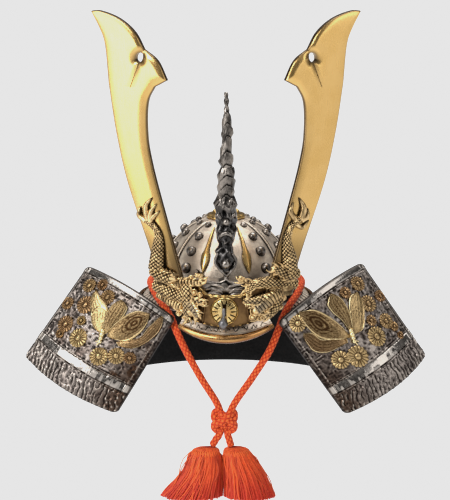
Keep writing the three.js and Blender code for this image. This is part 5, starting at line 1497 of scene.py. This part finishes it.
def make_front():
    make_piece("crest_base_wall", base_form(), bronze_brown, ["crest_base"])
    rolls = [edge_roll(base_top, 13, 0.9), edge_roll(lambda x: base_bottom(x) + 0.4, 19.5, 0.5, 0.35)]
    make_piece("crest_base_rolls", together(rolls), polished_gold)
    make_piece("carved_socket", socket_form(), dark_silver, ["crest_socket"])
    make_piece("slit_boss", boss_form(), boss_gold, ["boss"])
    make_piece("drop_pin", pin_form(), lead_grey, ["boss_pin"])


make_plates()
make_front()

# ---------------------------------------------------------------- dragons on the horns and round the crest base

# Limbs on the horn's face, in the right-hand coordinates of each dragon: u, v, lift, radius. Fingers come first.
HORN_LIMBS = {
    "left": [
        [(10, 43.8, 0.8, 0.45), (10.4, 40.5, 1.2, 0.9), (6.6, 37.8, 1.2, 1.1)],
        [(3.6, 48.8, 0.6, 0.4), (6.3, 45.3, 1.3, 0.9), (5.6, 38.2, 1.3, 1.2)],
        [(1.3, 46, 0.7, 0.4), (3.6, 42.8, 1.3, 0.9), (4.6, 38.6, 1.3, 1.1)],
        [(-0.2, 42.7, 0.6, 0.4), (2.5, 40.3, 1.2, 0.9), (4.6, 37.6, 1.2, 1.1)],
        [
            (6.2, 38.6, 1, 1.8), (2.5, 35.4, 0.9, 1.4), (0.4, 32.5, 1, 1.6), (0, 28, 1.2, 2.5),
            (1, 20, 1.6, 3.4), (1.5, 15, 1.8, 3.8),
        ],
        [(4.4, 13.6, 1, 2.2), (-1, 12.4, 2.0, 3.2), (-7.6, 10.8, 2.2, 3.2)],
    ],
    "right": [
        [(3, 48.8, 0.6, 0.4), (5, 44.5, 1.3, 1.1), (3.6, 38.6, 1.2, 1.3)],
        [(-0.5, 46.9, 0.6, 0.4), (-2, 43.4, 1.2, 1), (1, 38.6, 1.2, 1.2)],
        [(7.6, 43.3, 0.6, 0.4), (7.3, 40, 1.1, 0.8), (4, 38, 1.1, 1)],
        [(8, 37.6, 0.6, 0.4), (4.6, 34.8, 1.1, 0.8), (1.4, 36.8, 1.1, 1)],
        [
            (3, 39.4, 1.1, 1.8), (-1.5, 35.4, 0.9, 1.4), (-3.4, 30.5, 1, 1.9), (-3, 25, 1.3, 2.8),
            (-2, 20, 1.6, 3.5), (-1.5, 14, 1.8, 3.7),
        ],
        [(3.0, 12.4, 1.2, 2.3), (-3.4, 13.2, 1.9, 3.2), (-10.6, 16.4, 1.8, 1.8)],
    ],
}

# Limbs round the crest base: distance from the middle, height, lift above the wall, radius.
BASE_LIMBS = {
    "left": [
        [(33, 5.8, 0.6, 3.6), (26, 3.4, 1.3, 3.9), (19, 2, 1.4, 3.4)],
        [
            (24, 8.5, 1.5, 2.6), (17, 9.4, 1.9, 1.8), (11.8, 9.4, 1.7, 1.4), (11, 12, 1.5, 1.3),
            (13, 13.6, 1.4, 1.0),
        ],
        [(19, 8, 1.5, 2.8), (18.5, 3, 1.8, 2.9), (18.4, -2, 1.5, 2.5), (18.4, -10.4, 1, 1.2)],
        [(18, 0, 1.8, 2.3), (15.4, -4, 2, 1.9), (13.4, -7.6, 1.4, 1.2)],
        [(17, 1.4, 1.5, 1.6), (13, 0.2, 1.4, 1.2), (10.4, -0.2, 1.6, 1.7)],
        [(33, 0.6, 0.6, 1.4), (27.6, -0.8, 1.2, 2.1), (21, -3.4, 1.4, 2.4)],
    ],
    "right": [
        [
            (32.6, 6.4, 0.8, 3.3), (25, 8.4, 1.5, 3.1), (18, 9, 1.9, 2.5), (12.4, 8, 1.7, 1.9),
            (9.4, 4.4, 1.4, 1.4),
        ],
        [(16, 8.6, 1.6, 1.8), (9.4, 9.6, 1.6, 1.3), (6.8, 11.6, 1.5, 1.0)],
        [(8.4, 0.8, 1.1, 1.2), (12.6, 0.4, 1.8, 1.8), (18, 1, 2, 2.6)],
        [(26, 4, 1.2, 2.7), (21.4, 1.4, 2.0, 3.6), (17.4, -2, 2, 2.7), (14, -4.4, 1.8, 2.5)],
        [(24, 6, 1.4, 2.7), (24.6, -1, 1.4, 2.7), (20.4, -7.4, 1.3, 1.6), (14.8, -8, 1.1, 1.2)],
    ],
}

# Curls: place, radius of the coil, turns, direction. Eyes and pearls: place, radius.
BASE_CURLS = {
    "left": [
        (12.4, 13.0, 1.5, 1.4, 1), (10.6, -0.4, 1.7, 1.3, -1), (24.5, -2.2, 1.8, 1.5, 1),
        (30.5, 3.0, 1.8, 1.4, -1), (19.4, -8.6, 1.4, 1.2, 1),
    ],
    "right": [
        (7.4, 11.4, 1.6, 1.5, -1), (29.6, 3.4, 2.0, 1.5, 1), (25.4, -3.4, 1.7, 1.3, -1),
        (10.4, 6.6, 1.4, 1.3, 1), (17.6, -8.2, 1.4, 1.3, 1),
    ],
}
BASE_PEARLS = {
    "left": [
        (15.2, 4.6, 1.1), (21.6, 0.2, 1.0), (17.6, -5.2, 1.2), (12.4, 3.6, 0.8), (22.6, -6.4, 0.9),
        (16.6, 11.6, 0.8),
    ],
    "right": [
        (21.7, 1.4, 1.25), (24.4, -2.6, 1.0), (14.0, -4.4, 1.9), (12.6, -7.4, 1.1), (19.4, -4.8, 0.9),
        (27.6, 0.4, 0.9),
    ],
}


def on_base(x, z, lift):
    """Point over the wall of the crest base, on the right."""
    return round_front(x, BASE["radius"] + 0.3 + lift, z)


def scales(pitch, radius, depth):
    """Lozenge scales: the product of two sets of sine waves that wind round the limb in opposite ways."""
    count = max(5, round(0.5 * TAU * radius / pitch))

    def relief(u, v):
        row = 0.5 * u / pitch
        lattice = np.abs(np.sin(math.pi * (row + v * count)) * np.sin(math.pi * (row - v * count)))
        return depth * (np.sqrt(lattice) - 0.5)

    return relief


def ribs(pitch, depth):
    """Rings side by side, like the belly of the beast."""
    return lambda u, v: depth * (np.abs(np.sin(math.pi * u / pitch)) ** 0.6 - 0.6)


def limb(surface, rows, relief, sides=26, blunt=(0.7, 0.7)):
    """A limb whose rows are two places on a surface, a lift over it and a radius."""
    rows = np.array(rows, float)
    path = np.column_stack([surface(rows[:, 0], rows[:, 1], rows[:, 2]), rows[:, 3]])
    length = np.linalg.norm(np.diff(path[:, :3], axis=0), axis=1).sum()
    return tube(path, int(length / 0.22) + 8, sides, relief, hint=(0.1, -1, 0.2), blunt=blunt)


def tongue(surface, place, bearing, length, width, lift, bend):
    """A flame or lock of hair: it leaves the place at a bearing, bends and tapers to a point."""
    share = np.linspace(0, 1, 7)
    turn = bearing + bend * share
    step_on = length / 6 * np.stack([np.cos(turn), np.sin(turn)], -1)
    walk = np.array(place) + np.cumsum(step_on, axis=0) - step_on[0]
    rise = lift + 0.5 * np.sin(math.pi * share)
    path = np.column_stack([surface(walk[:, 0], walk[:, 1], rise), width * (1 - 0.85 * share)])
    return tube(path, 22, 10, hint=(0.1, -1, 0.2), blunt=(0.7, 1.2))


def tongues_along(surface, rows, count, length, width, spread=0.9):
    """Tongues on both sides of a limb, leaning back along it."""
    rows = np.array(rows, float)
    at = np.linspace(0, len(rows) - 1, count)
    place = np.stack(between_rows(rows, at), -1)
    heading = np.gradient(place[:, :2], axis=0)
    forms = []
    for k in range(count):
        side = 1 if k % 2 else -1
        lift, radius = place[k, 2:]
        bearing = math.atan2(heading[k, 1], heading[k, 0]) + side * spread * chance.uniform(0.6, 1.3)
        out = np.array([-heading[k, 1], heading[k, 0]]) / (np.linalg.norm(heading[k]) + 1e-9)
        start = place[k, :2] + side * out * radius * 0.55
        size = length * chance.uniform(0.7, 1.25), width * chance.uniform(0.75, 1.2)
        bend = -side * chance.uniform(0.5, 1.6)
        forms.append(tongue(surface, start, bearing, *size, lift + 0.35 * radius, bend))
    return forms


def curl(surface, x, z, radius, rounds, way):
    """A thin coil that winds inward and rises."""
    angle = np.linspace(0, TAU * rounds, 14)
    reach = radius * (1 - 0.8 * angle / angle[-1])
    lift = 2.2 + 0.8 * angle / angle[-1]
    path = surface(x + reach * np.cos(way * angle), z + reach * np.sin(way * angle), lift)
    return tube(np.column_stack([path, 0.55 - 0.2 * angle / angle[-1]]), 60, 10, hint=(0.1, -1, 0.2))


def pearl(surface, x, z, radius, lift=2.6):
    """A ball in a raised ring."""
    centre = surface(x, z, lift)
    facing = np.array([centre[0], centre[1], 0]) / np.linalg.norm(centre[:2])
    rows = ball_rows(centre, radius, facing)
    angle = np.linspace(0, TAU, 17)
    ring = surface(x + 1.25 * radius * np.cos(angle), z + 1.25 * radius * np.sin(angle), lift - 0.2)
    return [tube(rows, 14, 18, hint=(0, 0.1, 1)), tube(np.column_stack([ring, np.full(17, 0.3)]), 48, 8)]


def horn_cuff():
    """The sleeve at the foot of the horn, with ruffled brims."""
    angle = turns(140)[None]
    share = np.linspace(0, 1, 60)[:, None]
    v = 1.8 + 11.6 * share
    brims = line(share, 0.93, 0.1) + line(share, 0.62, 0.1) + 0.7 * line(share, 0.3, 0.12)
    grow = 0.9 * brims * (0.8 + 0.2 * np.sin(9 * angle)) - 0.5 * step(share, 0.96, 1.0)
    half_u, half_w = 7.2 + grow - 0.9 * share, 3.1 + grow
    u = -5.4 + 0.3 * (v - 2) + half_u * np.sign(np.cos(angle)) * np.abs(np.cos(angle)) ** 0.6
    w = -1.95 + half_w * np.sign(np.sin(angle)) * np.abs(np.sin(angle)) ** 0.7
    ruffle = 0.5 * np.sin(5 * angle + 2) * brims
    points = on_horn(u, v + ruffle, w)
    tips = [points[0].mean(axis=0), points[-1].mean(axis=0)]
    return capped(points, tips, patina=0.5 * (1 - np.clip(brims, 0, 1)))


# Teeth below the jaws: from where to where across, how many, and their height.
TEETH = {"left": (13.6, 17.0, 5, -1.6), "right": (9.4, 13.6, 6, -0.9)}
# Above this height a dragon lies on the horn, below it partly on the base.
HORN_FROM = 14


def dragon_limbs(side):
    """Arm and claws on the horn, coils round the crest base, and their tongues, curls, pearls and teeth."""
    arm, body = HORN_LIMBS[side], BASE_LIMBS[side]
    forms = [horn_cuff()]
    forms += [limb(on_horn, np.multiply(rows, [1, 1, 1, 1.3]), None, 18, (1.4, 0.7)) for rows in arm[:4]]
    forms.append(limb(on_horn, arm[4], scales(0.9, 2.6, 0.6), 96))
    forms.append(limb(on_horn, arm[5], scales(1.1, 3.0, 0.6), 96))
    forms += tongues_along(on_horn, arm[4][1:], 11, 3.0, 0.7, 0.5)
    forms += tongues_along(on_horn, arm[5], 12, 3.6, 0.85)
    for k, rows in enumerate(body):
        relief = scales(1.0, rows[1][3], 0.6) if k % 2 == 0 else ribs(1.5, 0.5)
        forms.append(limb(on_base, rows, relief, 90))
        forms += tongues_along(on_base, rows, 14 if rows[0][3] > 2 else 8, 3.3, 0.8)
    forms += [curl(on_base, *row) for row in BASE_CURLS[side]]
    for row in BASE_PEARLS[side]:
        forms += pearl(on_base, *row)
    start, end, count, level = TEETH[side]
    teeth = np.linspace(start, end, count)
    return forms + [tongue(on_base, (x, level), -0.5 * math.pi, 1.5, 0.45, 2.6, 0.2) for x in teeth]


def dragon_form(side):
    """A dragon, darker near the wall behind it and unevenly worn."""
    whole = together(dragon_limbs(side))
    points = whole.points
    origin, _, _, normal = horn_axes()
    over_horn = (points - origin) @ normal
    over_base = np.hypot(points[:, 0], points[:, 1]) - BASE["radius"] - 0.3
    lift = np.where(points[:, 2] > HORN_FROM, over_horn, np.maximum(over_horn, over_base))
    whole = weathered(whole, gain=2.6)
    low = 0.9 * step(lift, 2.2, 0.3)
    x, z = points[:, 0], points[:, 2]
    worn = 0.32 * (0.5 + 0.5 * np.sin(0.8 * x + 1.2 * z) * np.sin(1.1 * z - 0.7 * x + 1))
    whole.values["patina"] = np.clip(whole.values.get("patina", 0) + low + worn - 0.1, 0, 1)
    whole.values["tint"] = step(points[:, 2], 4, -2) * step(points[:, 0], 25, 17) * 0.7
    return whole


def make_dragons():
    right = dragon_form("right")
    left = dragon_form("left").mirrored()
    make_piece("dragon_relief_right", right, antique_brass, ["dragon_right"])
    make_piece("dragon_relief_left", left, antique_brass, ["dragon_left"])


# ---------------------------------------------------------------- the upright dragon

# The crest from its tip down: height, middle across, half width, middle front to back.
CREST_LEVELS = [
    (99.6, 0, 0.7, -43.2), (96.5, 0.2, 1.15, -43.0), (92, 0.3, 0.95, -42.8), (85.4, 0.4, 2.1, -42.2),
    (79.7, 0.6, 2.7, -41.8), (77.4, 0.4, 2.1, -41.6), (72.1, 0.1, 2.7, -41.2), (66.4, 0, 3.3, -40.9),
    (64, 0.3, 2.8, -40.8), (61.2, 0.2, 3.9, -40.8), (53, 0, 3.8, -40.9), (50.4, -0.2, 3.5, -41),
    (46.6, 0, 5.2, -41.2), (42, 0, 5.1, -41.4), (36.2, 0.1, 4.4, -41.7), (33.6, 0.1, 4.9, -41.9),
    (27.5, -0.2, 3.7, -42.3), (24.2, -0.5, 4.2, -42.6), (19, -0.1, 5.2, -43), (14.6, 0.2, 3.4, -43.4),
    (11.4, 0.4, 0.9, -43.6),
]

# Lumps and hollows on it: degrees from the front, height, size, rise in mm; each is mirrored to the other side.
CREST_LUMPS = [
    (0, 47.5, 2.0, 0.7), (35, 45, 1.8, 0.9), (75, 46.5, 1.6, 0.7), (0, 42.6, 1.3, -0.9), (32, 40.6, 1.7, 0.8),
    (70, 41.5, 1.5, -0.6), (0, 37.6, 1.4, 0.8), (28, 36.2, 1.2, -0.8), (60, 34.8, 1.6, 0.7),
    (0, 33.2, 1.2, -0.7), (95, 38, 1.6, 0.6), (0, 28.4, 1.2, 0.5), (34, 27.4, 1.3, -0.7), (70, 28.8, 1.5, 0.6),
    (0, 24.8, 1.2, -0.8), (45, 24, 1.4, 0.7), (90, 25.4, 1.5, -0.5), (60, 20.4, 1.6, 0.6), (85, 16.4, 1.4, 0.5),
    (0, 14.4, 1.1, 0.5),
]

# Ridges of its face: degrees from the front, height, lift, radius; mirrored to the other side.
CREST_RIDGES = [
    [(30, 40.2, 0.0, 0.6), (44, 41.8, 0.4, 0.9), (70, 40, 0.1, 0.6)],
    [(-4, 33.6, 0.2, 0.9), (22, 32.6, 0.3, 1.1), (46, 30.2, 0.0, 0.7)],
    [(0, 12.2, 0.1, 0.5), (38, 15, 0.3, 0.8), (62, 19.4, 0.3, 0.9), (50, 23.2, 0.2, 0.6)],
    [(14, 45.4, 0.0, 0.5), (34, 48.8, 0.4, 1.1), (68, 46, 0.1, 0.8)],
]
CREST_PEARLS = [(0, 19.0, 0.0, 2.7), (0, 38.6, -0.4, 2.2)]


def on_crest(from_front, z, lift):
    """Point of the crest's surface: angle from the front in radians, height, lift."""
    table = np.array(CREST_LEVELS[::-1])
    middle, half, y = (np.interp(z, table[:, 0], table[:, k]) for k in (1, 2, 3))
    reach = half + lift
    x, y = middle + reach * np.sin(from_front), y - 1.2 * reach * np.cos(from_front)
    return np.stack(np.broadcast_arrays(x, y, z), -1)


def crest_form():
    """The body: overlapping pointed plates down the neck, lumps and hollows over the head."""
    z = np.linspace(99.4, 11.5, 460)[:, None]
    turn = np.linspace(-math.pi, math.pi, 112, endpoint=False)[None]
    table = np.array(CREST_LEVELS[::-1])
    half = np.interp(z, table[:, 0], table[:, 2])
    side = half * np.abs(turn)
    row = (z + 0.95 * side - 1.7 * np.sin(turn + np.sin(z / 6.0))) / 5.6
    plates = (row % 1) ** 1.3 * np.minimum(0.9, 0.28 * half) * step(z, 43, 50) * step(z, 95, 88)
    keel = 0.35 * hump(half * turn, 0.6) * step(z, 47, 53) * step(z, 92, 84)
    furrows = 0.05 * np.sin(2 * math.pi * (half * turn / 1.1 + 0.25 * z * np.sign(turn)))
    furrows = furrows * step(z, 40, 48) * step(half, 0.8, 2)
    twist = 0.22 * np.sin(1.7 * z + 2 * turn) * step(z, 86, 92)
    lumps = 0 * (z + turn)
    for degrees, height, size, rise in CREST_LUMPS:
        away = half * (np.abs(turn + 0.3 * np.sin(z / 3.1)) - math.radians(degrees))
        lumps = lumps + 1.15 * rise * np.exp(-((away / size) ** 2) - ((z - height) / size) ** 2)
    fine = 0.3 * clouds(460, 112, 11) + 1.1 * (clouds(460, 112, 17) - 0.5) * step(z, 50, 42)
    fine = fine * step(half, 0.8, 2.5)
    lift = plates + keel + furrows + twist + lumps + fine - 0.4 * step(half, 0.9, 2.5)
    points = on_crest(turn, z, np.maximum(lift, 0.25 - half))
    tips = [[0, -43.3, 99.9], [0.4, -43.6, 11.0]]
    shade = 0.75 * step(row % 1, 0.3, 0.0) * step(z, 43, 50)
    shade = shade + 0.6 * step(lumps + fine, 0.1, -0.6) * step(z, 50, 44)
    forms = [capped(points, tips, patina=shade, tint=step(z, 52, 38))]
    for rows in CREST_RIDGES:
        degrees, height, lift, radius = np.array(rows).T
        for sign in (-1, 1):
            path = np.column_stack([on_crest(sign * np.radians(degrees), height, lift), radius])
            forms.append(tube(path, 50, 14, hint=(0, -1, 0.1), tint=1.0))
    for degrees, height, lift, radius in CREST_PEARLS:
        for sign in (-1, 1) if degrees else (1,):
            centre = on_crest(sign * math.radians(degrees), height, lift)
            rows = ball_rows(centre, radius, np.array([0, -1, 0]))
            forms.append(tube(rows, 18, 24, hint=(0, 0.1, 1), tint=1.0, patina=0.3))
    tang = [(0, -41.5, 4, 1.3), (0, -41.5, 9, 1.3), (0, -41.5, 14, 1.3)]
    forms.append(tube(tang, 12, 20, hint=(1, 0, 0), blunt=(0.2, 0.2), tint=1.0))
    return weathered(together(forms), gain=3.0)


make_dragons()
make_piece("upright_dragon", crest_form(), gunmetal, ["dragon_crest"])
